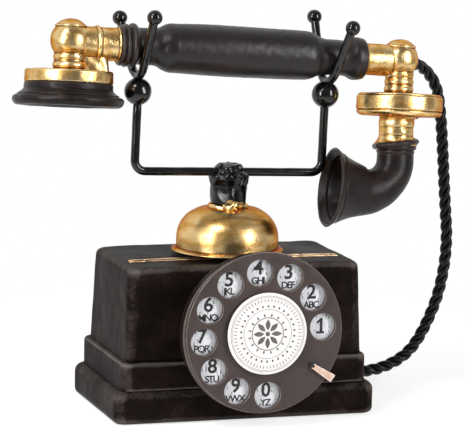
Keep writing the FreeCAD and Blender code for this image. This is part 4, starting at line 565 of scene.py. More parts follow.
cordLook = {"diameter": 5.8, "lay": 16.5, "strands": 3, "length": 207.0, "bushReach": 10.4,
            "leave": 9.6, "heading": (0.62, 0.78, 0.0), "baseEnd": (66.1, 18.0, 8.0),
            "arrive": 14.2,
            "route": [(107.1, 17.4, 158.0), (113.9, 19.3, 149.5), (116.6, 19.7, 134.7),
                      (118.2, 19.8, 117.8), (120.2, 19.8, 92.8), (122.3, 19.5, 70.4),
                      (119.0, 19.2, 47.7), (112.1, 18.9, 30.3), (103.9, 18.5, 17.4),
                      (92.9, 18.2, 10.8)]}
cordHeading = (handset.to_3x3() @ Vector(cordLook["heading"])).normalized()
cordStart = (moved(transmitter, z=placing["ballLift"]).translation
             + cordHeading * cordLook["bushReach"])
baseEnd = Vector(cordLook["baseEnd"])
cordPoints = [cordStart, cordStart + cordHeading * cordLook["leave"],
              *[Vector(place) for place in cordLook["route"]],
              baseEnd + Vector((cordLook["arrive"], 0, 0)), baseEnd]


# Points of the smooth spline that has the given points as its control points
def splinePoints(points):
    curve = bpy.data.curves.new("cordLine", "CURVE")
    curve.dimensions = "3D"
    curve.resolution_u = 24
    spline = curve.splines.new("NURBS")
    spline.points.add(len(points) - 1)
    for place, point in zip(spline.points, points):
        place.co = (*(point * mm), 1)
    spline.order_u = 3
    spline.use_endpoint_u = True
    return meshOf(curve)[0]


# Each strand goes round the centreline once a lay, its own radius r and its distance from the
# centre a set so that neighbours touch and a + r is the cord's radius: a = 2 r / root 3
def makeCord(diameter, strands, columns=14):
    path, length = resampled(splinePoints(cordPoints), 0.45)
    heading, side, other = acrossPath(path, np.array([0.0, 1.0, 0.0]))
    radius = diameter / 2 / (1 + 2 / math.sqrt(3))
    away = diameter / 2 - radius
    grids = []
    for strand in range(strands):
        turn = np.linspace(0, length, len(path)) / cordLook["lay"] + strand / strands
        turn = (math.tau * turn)[:, None]
        grids.append(tubeGrid(path + away * (side * np.cos(turn) + other * np.sin(turn)),
                              radius * 1.08, (0.0, 1.0, 0.0), columns, 4))
    rows = len(grids[0])
    piece = meshPiece("handsetCord", *joined(grids, [(False, True)] * strands), waxedCotton,
                      stands=["handset_cord"], slot="cord_black", attributes={
                          "alongStrand": np.tile(np.repeat(np.linspace(0, length * mm, rows),
                                                           columns), strands),
                          "roundStrand": np.tile(np.arange(columns) / columns, rows * strands)})
    mesh = piece.data
    corner = valuesOf(mesh.loops, "vertex_index", kind=int)
    u, v = (valuesOf(mesh.attributes[word].data, "value", kind=np.float32)[corner]
            for word in ("alongStrand", "roundStrand"))
    # On the seam the map goes on to 1 instead of back to 0
    owner = np.repeat(np.arange(len(mesh.polygons)),
                      valuesOf(mesh.polygons, "loop_total", kind=int))
    most = np.zeros(len(mesh.polygons))
    np.maximum.at(most, owner, v)
    v = np.where((most[owner] > 0.7) & (v < 0.3), v + 1, v)
    layer = mesh.uv_layers.new(name="strandMap")
    layer.data.foreach_set("uv", np.stack([u, v], 1).astype(np.float32).ravel())
    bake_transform(piece)
    print("cord: %.1f mm on its spline" % length)


makeCord(cordLook["diameter"], cordLook["strands"])


# Bushes that hold the cord's two ends

bushLook = {"wide": 4.6, "narrow": 3.4, "length": 4.6, "base": 4.2, "flange": 1.0,
            "wall": 63.9, "inside": 57.5}


def makeBushes(wide, narrow, length, base, flange, wall, inside):
    turn = cordHeading.to_track_quat("Z", "Y").to_matrix().to_4x4()
    turnedPiece("handsetCordBush", [([(0, -length), (wide, -length), (narrow + 0.2, -0.8),
                                      (narrow - 0.2, 0.3), (0, 0.3)],
                                     Matrix.Translation(cordStart) @ turn)],
                columns=48, step=0.2, material=softRubber, body="handset", slot="rubber")
    face, y, z = cordLook["baseEnd"]
    turnedPiece("baseCordBush", [([(0, inside), (base, inside), (base, wall),
                                   (base + flange, wall), (base + 0.5, wall + flange, 1.4),
                                   (narrow + 0.1, face - 0.2), (narrow - 0.4, face), (0, face)],
                                  moved(world, y=y, z=z, axis="Y", angle=90))],
                columns=64, step=0.2, material=softRubber, body="base", slot="rubber")


makeBushes(**bushLook)
print("cord bushes made")


# Box: rounded rectangles that follow one outline up the side, over the edge and onto the crown

boxLook = {"plinth": (63.9, 39.2, 5.0), "ledge": (59.9, 37.2, 4.5), "case": (58.2, 34.2, 5.0),
           "foot": 0.4, "footRound": 2.6, "plinthTop": 16.0, "plinthRound": 4.2,
           "ledgeTop": 29.0, "ledgeRound": 1.6, "caseTop": 73.4, "caseRound": 2.8, "draft": 2.0,
           "rebate": (59.55, 35.0, 5.0), "floor": 3.05, "boss": 26.0, "bossFace": 38.95,
           "waviness": 0.14, "brush": 0.05, "aside": 0.5}
crownRadius = 2600.0


# How the crown falls away from its top: R - root(R squared - x squared - y squared)
def crownDrop(grid):
    x, y = grid[..., 0], grid[..., 1]
    return crownRadius - np.sqrt(crownRadius ** 2 - x * x - y * y)


# Round a rectangle by corner arcs: x = sx (a - c) + c cos t, y = sy (b - c) + c sin t, where
# (sx, sy) walks from corner to corner while t stands still, and t turns while it waits there
def rectangleWalk(longSteps, shortSteps, cornerSteps):
    sx, sy, angle = [], [], []
    signs = [(1, -1), (1, 1), (-1, 1), (-1, -1)]
    for index, (x, y) in enumerate(signs):
        nextX, nextY = signs[(index + 1) % 4]
        start = -90 + 90 * index
        turn = np.arange(cornerSteps) / cornerSteps
        walk = np.arange(shortSteps if x == nextX else longSteps)
        walk = walk / len(walk)
        sx += [np.full(cornerSteps, x), x + (nextX - x) * walk]
        sy += [np.full(cornerSteps, y), y + (nextY - y) * walk]
        angle += [start + 90 * turn, np.full(len(walk), start + 90)]
    return np.concatenate(sx), np.concatenate(sy), np.radians(np.concatenate(angle))


# Rows (a, b, z, c) of half width, half depth, height and corner radius as a grid
def rectangleGrid(rows, *steps):
    sx, sy, angle = rectangleWalk(*steps)
    a, b, z, c = (rows[:, index:index + 1] for index in range(4))
    x = sx * np.maximum(a - c, 0) + np.minimum(c, a) * np.cos(angle)
    y = sy * np.maximum(b - c, 0) + np.minimum(c, b) * np.sin(angle)
    return np.stack([x, y, np.broadcast_to(z, x.shape)], -1)


# Such rows with the first and the last of them drawn in to the middle
def drawnIn(rows, steps):
    sizes = np.linspace(1, 0, steps)[1:, None]
    sizes = np.hstack([sizes, sizes, np.ones_like(sizes), sizes])
    return np.vstack([(rows[:1] * sizes)[::-1], rows, rows[-1:] * sizes])


# A quarter round over an edge: each half size less r (1 - cos t), height top - r (1 - sin t)
def overEdge(half, top, radius, start=0, end=90, steps=10):
    t = np.radians(np.linspace(start, end, steps))
    inset = radius * (1 - np.cos(t))
    return np.stack([half[0] - inset, half[1] - inset, top - radius * (1 - np.sin(t)),
                     np.maximum(half[2] - inset * 0.6, 0.6)], 1)


def atHeight(half, height):
    return [(half[0], half[1], height, half[2])]


def makeBox(plinth, ledge, case, foot, footRound, plinthTop, plinthRound, ledgeTop, ledgeRound,
            caseTop, caseRound, draft, rebate, floor, boss, bossFace, waviness, brush, aside):
    shrink = math.tan(math.radians(draft)) * (caseTop - ledgeTop)
    under = overEdge(plinth, -foot, footRound)[::-1]
    under[:, 2] *= -1
    rows = softened(np.vstack([
        atHeight(rebate, floor), atHeight(rebate, foot), under,
        overEdge(plinth, plinthTop, plinthRound, 0, 78), atHeight(ledge, plinthTop - 0.06),
        overEdge(ledge, ledgeTop, ledgeRound), atHeight(case, ledgeTop),
        overEdge((case[0] - shrink, case[1] - shrink, case[2]), caseTop, caseRound)]), 0.42, 0.75)
    grid = rectangleGrid(drawnIn(rows, 26), 64, 38, 12)
    # The case stands a little to the right on its plinth
    grid[..., 0] += aside * np.clip(grid[..., 2] - ledgeTop + 1, 0, 1)
    grid[..., 2] -= crownDrop(grid) * np.clip((grid[..., 2] - 60) / 9, 0, 1)

    def uneven(points):
        low = np.clip((points[..., 2] - 1) / 4, 0, 1)
        return low * (waviness * waves(points, 34, 3)
                      + brush * waves(points * (1, 1, 0.5), 7, 4))

    surface("boxShell", [grid], (False, True), uneven, stands=["housing_shell"], **enamelled)
    turnedPiece("dialBoss", [([(0, case[1] - 3), (boss, case[1] - 3), (boss, bossFace),
                               (0, bossFace)],
                              moved(world, z=placing["dialHeight"], axis="X", angle=90))],
                **enamelled)


makeBox(**boxLook)

slotLook = {"outer": (51.5, 2.7, 0.6), "inner": (49.4, 1.8, 0.3), "y": -13.5, "proud": 0.35,
            "deep": 2.4}


# Frame of the slot: a rounded rectangle's outer wall, top, inner wall and underside in one loop,
# with the crown's fall taken off
def makeSlotFrame(outer, inner, y, proud, deep):
    low, high = boxLook["caseTop"] - deep, boxLook["caseTop"] + proud
    rows = softened(atHeight(outer, low) + atHeight(outer, high) + atHeight(inner, high)
                    + atHeight(inner, low), 0.15, 0.1, True)
    grid = rectangleGrid(rows, 150, 4, 4) + (0, y, 0)
    grid[..., 2] -= crownDrop(grid)
    surface("slotFrame", [grid], (True, True), (0.07, 5, 8),
            **{**bellGilded, "material": wornGilt})


makeSlotFrame(**slotLook)
print("box made")


# Bell, its collar with a lump of gilt, and the neck that carries the cradle

bellLook = {"radius": 26.8, "side": 24.4, "shoulder": 15.0, "top": 96.0, "rim": 75.4,
            "wall": 1.4, "tube": 3.9, "collar": 9.6, "height": 1.7, "hammer": 0.07,
            "lump": 4.8, "lumpFlat": 0.6, "lumpAt": (-0.6, -7.6, 97.6)}


def makeBell(radius, side, shoulder, top, rim, wall, tube, collar, height, hammer, lump,
             lumpFlat, lumpAt):
    crownEdge, turnHeight = side - shoulder, top - shoulder
    gong = [(tube, top - wall), (tube, top), (crownEdge, top), (side, turnHeight, -shoulder),
            (side, rim + 1.6), (radius - 0.35, rim + 0.7), (radius, rim, -0.7),
            (radius - 1.6, rim), (side - wall, rim + 1.6), (side - wall, turnHeight),
            (crownEdge, top - wall, shoulder - wall)]
    turnedPiece("bellGong", [(gong, line)],
                lambda points: hammer * waves(points * (1, 1, 0.6), 9, 11), columns=176,
                blur=0.35, **{**bellGilded, "material": bellGilt})
    ring = [(tube, top - 0.3), (collar, top - 0.3), (collar, top + height / 2),
            (collar - height / 2, top + height, 0.95), (tube, top + height)]
    turnedPiece("bellCollar", [(ring, line)], (0.12, 4, 12), step=0.2, blur=0.25, **bellGilded)
    # Lump of gilt run together at the collar's front
    ball = outline(ballProfile(lump)) * (1, lumpFlat)
    turnedPiece("collarLump", [(ball.tolist(), moved(line, *lumpAt))], (0.55, 6, 15, 8),
                columns=72, step=0.2, **bellGilded)


makeBell(**bellLook)

neckLook = {"foot": 98.1, "waist": 8.6, "top": 110.7, "wide": 9.7, "cap": 117.2, "knot": 7.0,
            "fold": 0.9, "crumple": 0.8}


# Neck and cap: turned, then drawn into flat facets and creases
def makeNeck(foot, waist, top, wide, cap, knot, fold, crumple):
    neck = [(0, foot), (waist, foot), (waist, foot + 4), (waist, top - 4), (wide, top, 14),
            (0, top)]
    turnedPiece("cradleNeck", [(neck, line)], lambda points: fold * waves(
        points * (1.0, 1.0, 0.55), 13, 21, 5, creased=True) + 0.25, columns=144, step=0.2,
        blur=0.35, **wrapped)
    lumps = [(0, top - 0.6), (wide - 0.4, top - 0.6), (wide - 0.1, top + 0.4),
             (wide - 0.8, top + 1.5), (knot, top + 2.4), (knot - 0.2, cap - 2.2),
             (knot - 2.2, cap - 0.6, 2.6), (0, cap - 0.2, 18)]
    turnedPiece("neckCap", [(lumps, line)], lambda points: crumple * waves(
        points, 8, 23, 6, creased=True) + 0.2, columns=144, step=0.2, **wrapped)


makeNeck(**neckLook)
print("bell and neck made")


# Cradle: one bent wire, a ball on each upright and a fork of wire above each ball

wireLook = {"radius": 2.05, "bend": 5.2, "seat": 3.4, "ball": 6.5, "tip": 3.55, "tipSeat": 0.6,
            "forkAngle": 30.0}
forks = {"left": {"side": -1, "bow": 8.0, "rise": 7.6, "legs": (25.5, 21.7), "turn": 7.8,
                  "lean": -2.3},
         "right": {"side": 1, "bow": 10.0, "rise": 6.2, "legs": (23.2, 24.6), "turn": 5.0,
                   "lean": 5.6}}


def makeCradle(radius, bend, seat, ball, tip, tipSeat, forkAngle):
    half, top = placing["barHalf"], placing["ballHeight"] - seat
    bow = np.radians(np.linspace(180, 270, 14))
    left = np.stack([bend - half + bend * np.cos(bow), bend + bend * np.sin(bow)], 1)
    flat = np.vstack([[(-half, top)], left, (left * (-1, 1))[::-1], [(half, top)]])
    path = np.stack([flat[:, 0], 0 * flat[:, 0], flat[:, 1]], 1)
    path = placed(resampled(path, 0.8)[0], cradle)
    surface("cradleWire", [tubeGrid(path, radius, (0, 1, 0), 28)], (False, True),
            (0.03, 9, 31), stands=["cradle_bar"], **lacquered)
    balls, wires, tips = [], [], []
    for fork in forks.values():
        above = moved(cradle, x=fork["side"] * half, z=placing["ballHeight"])
        stand = moved(above, axis="Y", angle=fork["lean"] - placing["cradleTilt"])
        stand = moved(moved(stand, angle=fork["turn"]), z=fork["rise"])
        balls.append((ballProfile(ball), above))
        spread = math.radians(90 - forkAngle)
        bow = np.linspace(-spread, spread, 22)
        arc = np.stack([fork["bow"] * np.sin(bow), fork["bow"] * (1 - np.cos(bow))], 1)
        away = np.array([math.cos(spread), math.sin(spread)])
        front = arc[0] + fork["legs"][0] * away * (-1, 1)
        back = arc[-1] + fork["legs"][1] * away
        flat = np.vstack([front, arc, back])
        path = np.stack([0 * flat[:, 0], flat[:, 0], flat[:, 1]], 1)
        wires.append(tubeGrid(placed(resampled(path, 0.6)[0], stand), radius,
                              np.array(stand)[:3, 0], 28))
        for end, hand in ((front, -1), (back, 1)):
            y, z = end + (tip - tipSeat) * away * (hand, 1)
            tips.append((ballProfile(tip), moved(stand, y=y, z=z)))
    turnedPiece("cradleBalls", balls, (0.05, 7, 32), columns=72, blur=0.2, **lacquered)
    surface("cradleForks", wires, (False, True), (0.06, 6, 33), **lacquered)
    turnedPiece("forkTips", tips, (0.04, 5, 34), columns=48, step=0.3, blur=0.2, **lacquered)


makeCradle(**wireLook)
print("cradle made")


# Handset

gripLook = {"neck": 8.6, "full": 12.0, "end": 11.5, "left": -55.7, "flange": 10.3,
            "leftNeck": (-45.4, -38.6), "leftGrip": -28.5, "rightGrip": 35.5,
            "rightNeck": (47.2, 53.4), "right": 66.0, "uneven": 0.1,
            "bore": 4.5, "swell": 0.55, "leftSleeve": (7.85, -73.5), "rightSleeve": (7.65, 79.5)}


# Grip, and the gilt sleeves that run from its ends into the elbows
def makeGrip(neck, full, end, left, flange, leftNeck, leftGrip, rightGrip, rightNeck, right,
             uneven, bore, swell, leftSleeve, rightSleeve):
    grip = [
        (0, left), (flange - 1.3, left), (flange - 0.7, left + 1.6, 1.5),
        (flange - 1.7, left + 2.1), (flange - 0.5, left + 2.6), (flange - 0.4, left + 4.1, 1.1),
        (flange - 1.4, left + 4.7), (flange - 0.1, left + 5.6), (flange, left + 7.6, 1.7),
        (flange - 0.8, left + 8.4), (neck, leftNeck[0], -1.6), (neck, leftNeck[1]),
        (neck + 1.5, leftNeck[1] + 4.2, -7.5), (end, leftGrip, 9.5),
        (full, (leftGrip + rightGrip) / 2, 900), (end + 0.15, rightGrip, 900),
        (neck + 1.2, rightNeck[0] - 5, 12.0), (neck, rightNeck[0], -14.0), (neck, rightNeck[1]),
        (flange - 0.7, right - 6.4, -9.0), (flange, right - 4.0, 3.6),
        (flange - 0.7, right, 16.0), (0, right)]
    turnedPiece("handleGrip", [(grip, handle)], lambda points: uneven
                * waves(points * (0.5, 1, 1), 16, 41) + 0.03 * waves(points, 4, 42),
                columns=144, blur=0.35, material=turnedEbonite, body="handset",
                slot="handle_black")
    sleeve, start = leftSleeve
    bead = start + 6.4
    atLeft = [(bore, start), (sleeve, start), (sleeve, bead), (sleeve + swell, bead + 0.7),
              (sleeve + swell, bead + 1.7, 0.8), (sleeve, bead + 2.3), (sleeve - 0.1, left - 1.2),
              (sleeve + 0.5, left - 0.4, -1.5), (sleeve + 0.5, left), (bore, left)]
    sleeve, start = rightSleeve
    atRight = [(bore, right), (sleeve + 0.4, right), (sleeve + 0.4, right + 0.5),
               (sleeve, right + 1.4, -1.6), (sleeve - 0.1, start), (bore, start)]
    turnedPiece("handleFerrules", [(atLeft, handle), (atRight, handle)], (0.07, 6, 43),
                columns=112, step=0.25, **handGilded)


makeGrip(**gripLook)

elbowLook = {"domeFoot": 7.0, "domeRise": 0.9, "edge": 0.45,
             "receiver": {"ball": 9.5, "stem": 7.8, "foot": -13.0, "beads": (1.7, 2.6)},
             "transmitter": {"ball": 9.0, "stem": 7.2, "foot": -15.8, "beads": (2.0, 2.0, 2.6)}}
webLook = {"length": 19.0, "width": 9.0, "height": 8.2, "lean": 1.6, "bow": 3.0}


# Domed cap, ring and ball above a beaded neck, down to the disc
def elbowProfile(ball, stem, foot, beads):
    lift, domeFoot, edge = placing["ballLift"], elbowLook["domeFoot"], elbowLook["edge"]
    domeTop = lift + ball + elbowLook["domeRise"]
    ring = lift + math.sqrt(ball * ball - domeFoot * domeFoot)
    ballFoot = lift - math.sqrt(ball * ball - stem * stem)
    profile = [(0, foot - 0.4), (stem + 2.2 * edge, foot - 0.4), (stem + 2.2 * edge, foot + 0.3)]
    step = (ballFoot - edge - foot) / len(beads)
    for index, bead in enumerate(beads):
        base = foot + step * index
        profile.append((stem - edge * 1.4, base + step * 0.22))
        profile.append((stem - edge * 1.2, base + step * 0.95, bead))
    rise = domeTop - ring - edge * 2.5
    dome = (domeFoot * domeFoot + rise * rise) / (2 * rise)
    return profile + [(stem - 0.3, ballFoot), (domeFoot, ring, ball),
                      (domeFoot + edge, ring + edge / 2), (domeFoot + edge, ring + edge * 2, edge),
                      (domeFoot - 0.2, ring + edge * 2.5), (0, domeTop, dome)]


# Web between the receiver's ball and its disc: narrower towards its top
def makeWeb(length, width, height, lean, bow, foot):
    rows = softened([(length / 2, width / 2, -1.0, bow), (length / 2, width / 2, 0.0, bow),
                     (length / 2 - lean, width / 2, height, bow)], 0.3, 0.3)
    grid = rectangleGrid(drawnIn(rows, 10), 20, 12, 6)
    surface("receiverWeb", [placed(grid, moved(receiver, x=length / 2, z=foot))], (False, True),
            (0.15, 6, 55), **handGilded)


receiverLook = {"top": -13.0, "bottom": -19.0, "disc": 20.7, "rim": 26.1, "face": -29.7,
                "holeCircle": 7.0, "holes": 6, "hole": 1.1, "middleHole": 1.6}


def makeReceiver(top, bottom, disc, rim, face, holeCircle, holes, hole, middleHole):
    turnedPiece("receiverElbow", [(elbowProfile(**elbowLook["receiver"]), receiver)],
                (0.09, 7, 51), step=0.25, **handGilded)
    turnedPiece("receiverCup", [([(0, top), (disc - 1.0, top), (disc, top - 1.0, -1.0),
                                  (disc, bottom + 0.5), (disc - 0.5, bottom),
                                  (0, bottom)], receiver)],
                (0.1, 9, 52), columns=160, step=0.3, **handGilded)
    makeWeb(**webLook, foot=top)
    cap = turnedPiece("earCap", [([
        (0, bottom), (disc - 0.1, bottom), (disc + 0.1, bottom - 3.0),
        (rim - 2.3, face + 5.5, 7.0), (rim - 2.6, face + 5.0), (rim - 1.9, face + 4.8),
        (rim, face + 3.2, -2.4), (rim - 1.3, face + 0.4, -3.2), (rim - 2.2, face, -1.4),
        (rim - 4.3, face), (7.0, face + 4.0, 42.0), (0, face + 4.4, 61.5)], receiver)],
        (0.08, 9, 53), columns=176, step=0.35, **moulded)
    places = [(0.0, 0.0, middleHole)]
    places += [(x, y, hole) for x, y in (holeCircle * circle(holes)).tolist()]
    cutThrough(cap, [([(0, 0), (radius, 0), (radius, 5.5), (0, 5.5)],
                      moved(receiver, x=x, y=y, z=face + 1.0)) for x, y, radius in places])


makeReceiver(**receiverLook)

hornLook = {"start": 8.9, "mouth": 19.2, "growth": 2.7, "drop": 3.2, "bend": 15.4, "angle": 94.5,
            "reach": 15.6, "wall": 1.8, "foot": -44.6}


# Horn: circles square to a line that drops, bends and runs on; the outer radius is
# start + (mouth - start) share^growth with a bead at the lip, the inner one less by the wall
def makeHorn(start, mouth, growth, drop, bend, angle, reach, wall, foot):
    whole = math.radians(angle)
    length = drop + bend * whole + reach
    way = np.linspace(0, length, 90)
    radius = start + (mouth - start) * (way / length) ** growth
    lip = length - way
    for height, place, width in ((0.35, 0.9, 0.9), (-0.4, 3.1, 0.35), (0.25, 3.9, 0.5)):
        radius += height * np.exp(-((lip - place) / width) ** 2)
    wallThere = wall * np.clip(1.15 - way / length * 0.35, 0.6, 1.1)
    rows = np.vstack([np.stack([way, radius], 1),
                      np.stack([way, radius - wallThere], 1)[::-1]])
    there, radii = softened(rows, 0.5, 0.35, True).T
    turn = np.clip((there - drop) / bend, 0, whole)
    before, after = np.minimum(there, drop), np.maximum(there - drop - bend * whole, 0)
    x = bend * np.cos(turn) - bend - np.sin(turn) * after
    z = foot - before - bend * np.sin(turn) - np.cos(turn) * after
    side = np.stack([np.cos(turn), 0 * turn, -np.sin(turn)], 1)
    grid = ringGrid(np.stack([x, 0 * x, z], 1), side, np.array([[0.0, 1.0, 0.0]]), radii, 136)
    surface("mouthpieceHorn", [placed(grid, mouthpiece)], (True, True), (0.1, 11, 61), **moulded)


transmitterLook = {"top": -15.8, "bottom": -26.2, "disc": 20.8, "neck": 8.8, "bore": 5.0,
                   "foot": -40.6, "ring": 10.0, "bead": 9.8, "thick": 1.5, "tilt": -9.0}


def makeTransmitter(top, bottom, disc, neck, bore, foot, ring, bead, thick, tilt):
    turnedPiece("transmitterElbow", [(elbowProfile(**elbowLook["transmitter"]),
                                      moved(transmitter, x=-0.7))],
                (0.09, 7, 62), step=0.25, **handGilded)
    start = bottom - 1.4
    turnedPiece("transmitterCup", [([
        (0, top), (disc - 1.6, top), (disc - 0.7, top - 0.6, -1.2), (disc - 0.8, top - 1.2),
        (disc, top - 1.7, -0.6), (disc, bottom + 2.7), (disc - 0.6, bottom + 2.4),
        (disc - 0.6, bottom + 2.0), (disc, bottom + 1.7), (disc - 2.6, bottom - 0.3, -2.6),
        (neck + 2.2, bottom - 0.3), (neck + 0.2, start, 2.4), (0, start)], transmitter)],
        (0.1, 9, 63), columns=160, step=0.28, blur=0.24, **handGilded)
    step, flare, slim = (start - foot) / 3, neck + 1.4, neck - 0.4
    turnedPiece("transmitterNeck", [([
        (bore, start + 0.3), (bore, foot), (flare, foot), (flare, foot + 0.8, 0.6),
        (slim, foot + step, -7.0), (slim - 0.2, foot + step + 0.3),
        (slim - 0.2, start - step - 0.3, 6.0), (slim - 0.3, start - step), (slim, start - 0.3, 6.0),
        (slim, start + 0.3)], mouthpiece)], (0.12, 6, 64), columns=112, step=0.25, **handGilded)
    low, middle = foot - 4.0, foot - 2.2
    turnedPiece("mouthpieceRing", [([
        (bore, low - 0.3), (ring - 1.2, low - 0.3), (ring - 1.0, middle - 0.2, 1.2),
        (ring - 1.2, middle), (ring - 0.5, middle + 0.2), (ring - 0.3, foot + 0.3, 1.5),
        (bore, foot + 0.3)], mouthpiece)], (0.22, 8, 65), columns=112, step=0.25, **moulded)
    turnedPiece("ringBead", [([(bead - thick, 0), (bead, -thick, thick), (bead + thick, 0, thick),
                               (bead, thick, thick), (bead - thick, 0, thick)],
                              moved(mouthpiece, z=foot + 0.9, axis="Y", angle=tilt))],
                (0.25, 7, 66), columns=112, step=0.2, blur=0.2, **moulded)


makeTransmitter(**transmitterLook)
makeHorn(**hornLook)
print("handset made")


# Dial

dialLook = {"rim": 37.2, "depth": 19.0, "flare": 14.0, "bulge": 22.0, "wall": 1.6, "boss": 26.0,
            "bore": 20.5, "floor": 2.0, "caseShift": (-0.6, 0.0),
            "plate": 35.5, "plateBore": 5.2, "plateThick": 1.4, "plateTop": 18.8,
            "wheel": 37.6, "wheelShift": (0.4, 0.6), "back": 19.6, "front": 21.8,
            "holeCircle": 28.8, "hole": 6.2, "first": 5.0, "pitch": 30.0, "holes": 10,
            "bevel": 0.35, "spot": 7.1, "holder": 18.4, "holderBore": 4.4, "holderTop": 23.3,
            "card": 19.1, "cardFace": 24.3, "cardShift": (1.0, 0.7)}


def makeDialCase():
    look = dialLook
    rim, depth, flare, bore = look["rim"], look["depth"], look["flare"], look["bore"]
    inner, floor, boss = rim - look["wall"], look["floor"], look["boss"]
    place = moved(dial, *look["caseShift"])
    turnedPiece("dialCase", [([
        (bore, 0.05), (boss, 0.05), (rim, flare, look["bulge"]), (rim, depth - 0.5),
        (rim - 0.5, depth), (inner, depth), (inner, depth - 1.6), (inner - 2, depth - 1.6),
        (inner - 2, flare), (boss - 0.3, floor, -20), (bore, floor)], place)],
        (0.06, 12, 71), columns=192, material=castEnamel, body="base", slot="dial_case_black")
    plate, bore, top = look["plate"], look["plateBore"], look["plateTop"]
    low = top - look["plateThick"]
    turnedPiece("numberPlate", [([(bore, low), (plate, low), (plate, top), (bore, top)], place)],
                material=castEnamel, body="base", slot="spot_plate")


makeDialCase()
angles = np.radians(dialLook["first"] + dialLook["pitch"] * np.arange(dialLook["holes"]))
holePlaces = (dialLook["holeCircle"] * np.stack([np.cos(angles), np.sin(angles)], 1)).tolist()


# Finger wheel: a flat curve with ten holes, thick and bevelled, its bevels pale: partly rubbed
# wear, partly painted highlight
def makeWheel():
    look = dialLook
    curve = bpy.data.curves.new("fingerWheel", "CURVE")
    curve.dimensions, curve.fill_mode = "2D", "BOTH"
    thick = (look["front"] - look["back"]) / 2
    curve.extrude, curve.bevel_depth = (thick - look["bevel"]) * mm, look["bevel"] * mm
    curve.bevel_resolution, curve.offset = 3, -look["bevel"] * mm
    rings = [(*look["wheelShift"], look["wheel"], 240, 1)]
    rings += [(x, y, look["hole"], 80, -1) for x, y in holePlaces]
    for x, y, radius, count, way in rings:
        spline = curve.splines.new("POLY")
        spline.points.add(count - 1)
        flat = np.hstack([((x, y) + radius * circle(count) * (1, way)) * mm,
                          np.tile((0.0, 1.0), (count, 1))])
        spline.points.foreach_set("co", flat.astype(np.float32).ravel())
        spline.use_cyclic_u = True
    points, faces = meshOf(curve)
    wheel = meshPiece("fingerWheel", points + (0, 0, look["back"] + thick), faces, wheelBronze,
                      "dial", slot="wheel_bronze", base=dial)
    wheel.data.materials.append(wheelEdgeWearAndHighlight)
    facing = valuesOf(wheel.data.polygons, "normal", 3)[:, 1]
    bevels = (facing < -0.3) & (facing > -0.97)
    wheel.data.polygons.foreach_set("material_index", bevels.astype(int))
    wheel.data.set_sharp_from_angle(angle=math.radians(30))


makeWheel()
# The card sits a little off the wheel's centre
cardPlace = moved(dial, *dialLook["cardShift"])


def makeCard():
    look = dialLook
    low, top, holder, bore = (look[key] for key in ("front", "holderTop", "holder", "holderBore"))
    turnedPiece("cardHolder", [([(bore, low), (holder, low), (holder, top), (bore, top)],
                                cardPlace)],
                step=0.3, material=wheelBronze, body="dial", slot="wheel_bronze")
    radius, face = look["card"], look["cardFace"]
    turnedPiece("dialCard", [([(0, top), (radius, top), (radius, face - 0.4),
                               (radius - 0.4, face, 0.4), (0, face)], cardPlace)], columns=160,
                step=0.25, blur=0.15, material=glazedCard, body="dial", slot="card_white")


makeCard()


# Flat motifs on a plane, in mm, as grids and whether they close: a ring, and strips that point
# outwards, or petals whose width is the sine of the way along them
def ringMotif(inner, outer, count=144):
    return [(np.stack([circle(count) * inner, circle(count) * outer]), True)]


def spokeMotif(inner, outer, width, count, shift=0.0, steps=2, bowed=False):
    shares = np.linspace(0, 1, steps)
    half = width / 2 * (np.sin(np.pi * shares) if bowed else np.ones(steps))
    reach = inner + (outer - inner) * shares
    way = circle(count, shift)
    over = way[:, ::-1] * (-1, 1)
    sides = [reach[None, :, None] * way[:, None] + sign * half[None, :, None] * over[:, None]
             for sign in (-1, 1)]
    return [(strip, False) for strip in np.stack(sides, 1)]


cardPrint = {"cardRosette": ringMotif(7.35, 7.75) + spokeMotif(1.6, 6.9, 2.3, 8, 0, 14, True)
             + ringMotif(0.0, 1.1, 40) + spokeMotif(7.9, 9.6, 0.9, 16, 0.5, 10, True),
             "cardLines": ringMotif(17.55, 17.75) + ringMotif(16.95, 17.1)
             + ringMotif(11.35, 11.55) + spokeMotif(14.9, 16.3, 0.34, 60)
             + spokeMotif(12.2, 13.6, 1.0, 30, 0.5, 8, True)}


# Motifs laid at one height over the card, their faces turned to the front
def printMotifs(name, motifs, height):
    lifted = [np.concatenate([flat, np.full((*flat.shape[:2], 1), height)], -1)
              for flat, closed in motifs]
    piece = meshPiece(name, *joined(lifted, [(False, closed) for flat, closed in motifs]),
                      greyInk, "dial", slot="card_white", base=cardPlace)
    if valuesOf(piece.data.polygons, "normal", 3)[:, 1].mean() > 0:
        piece.data.flip_normals()


for name, motifs in cardPrint.items():
    printMotifs(name, motifs, dialLook["cardFace"] + 0.03)

spotLook = {"digits": "1234567890", "digitUp": 2.2, "letterUp": -3.9,
            "digit": {"height": 6.6, "bold": 0.2},
            "letter": {"height": 3.2, "bold": 0.1, "tight": 0.8},
            "letters": ["", "ABC", "DEF", "GHI", "JKL", "MNO", "PQR", "STU", "VWX", "YZ"],
            "capital": 0.72, "thick": 0.04}


# Vertices and faces of a word, its middle at the origin, its capitals `height` tall, which are
# 0.72 of the size of the type
def wordMesh(word, height, bold=0.0, tight=1.0):
    text = bpy.data.curves.new("word", "FONT")
    text.body, text.size = word, height / spotLook["capital"] * mm
    text.extrude = spotLook["thick"] * mm
    text.offset, text.space_character = bold * mm, tight
    text.align_x = "CENTER"
    points, faces = meshOf(text)
    points[:, :2] -= (points[:, :2].min(0) + points[:, :2].max(0)) / 2
    return points, faces


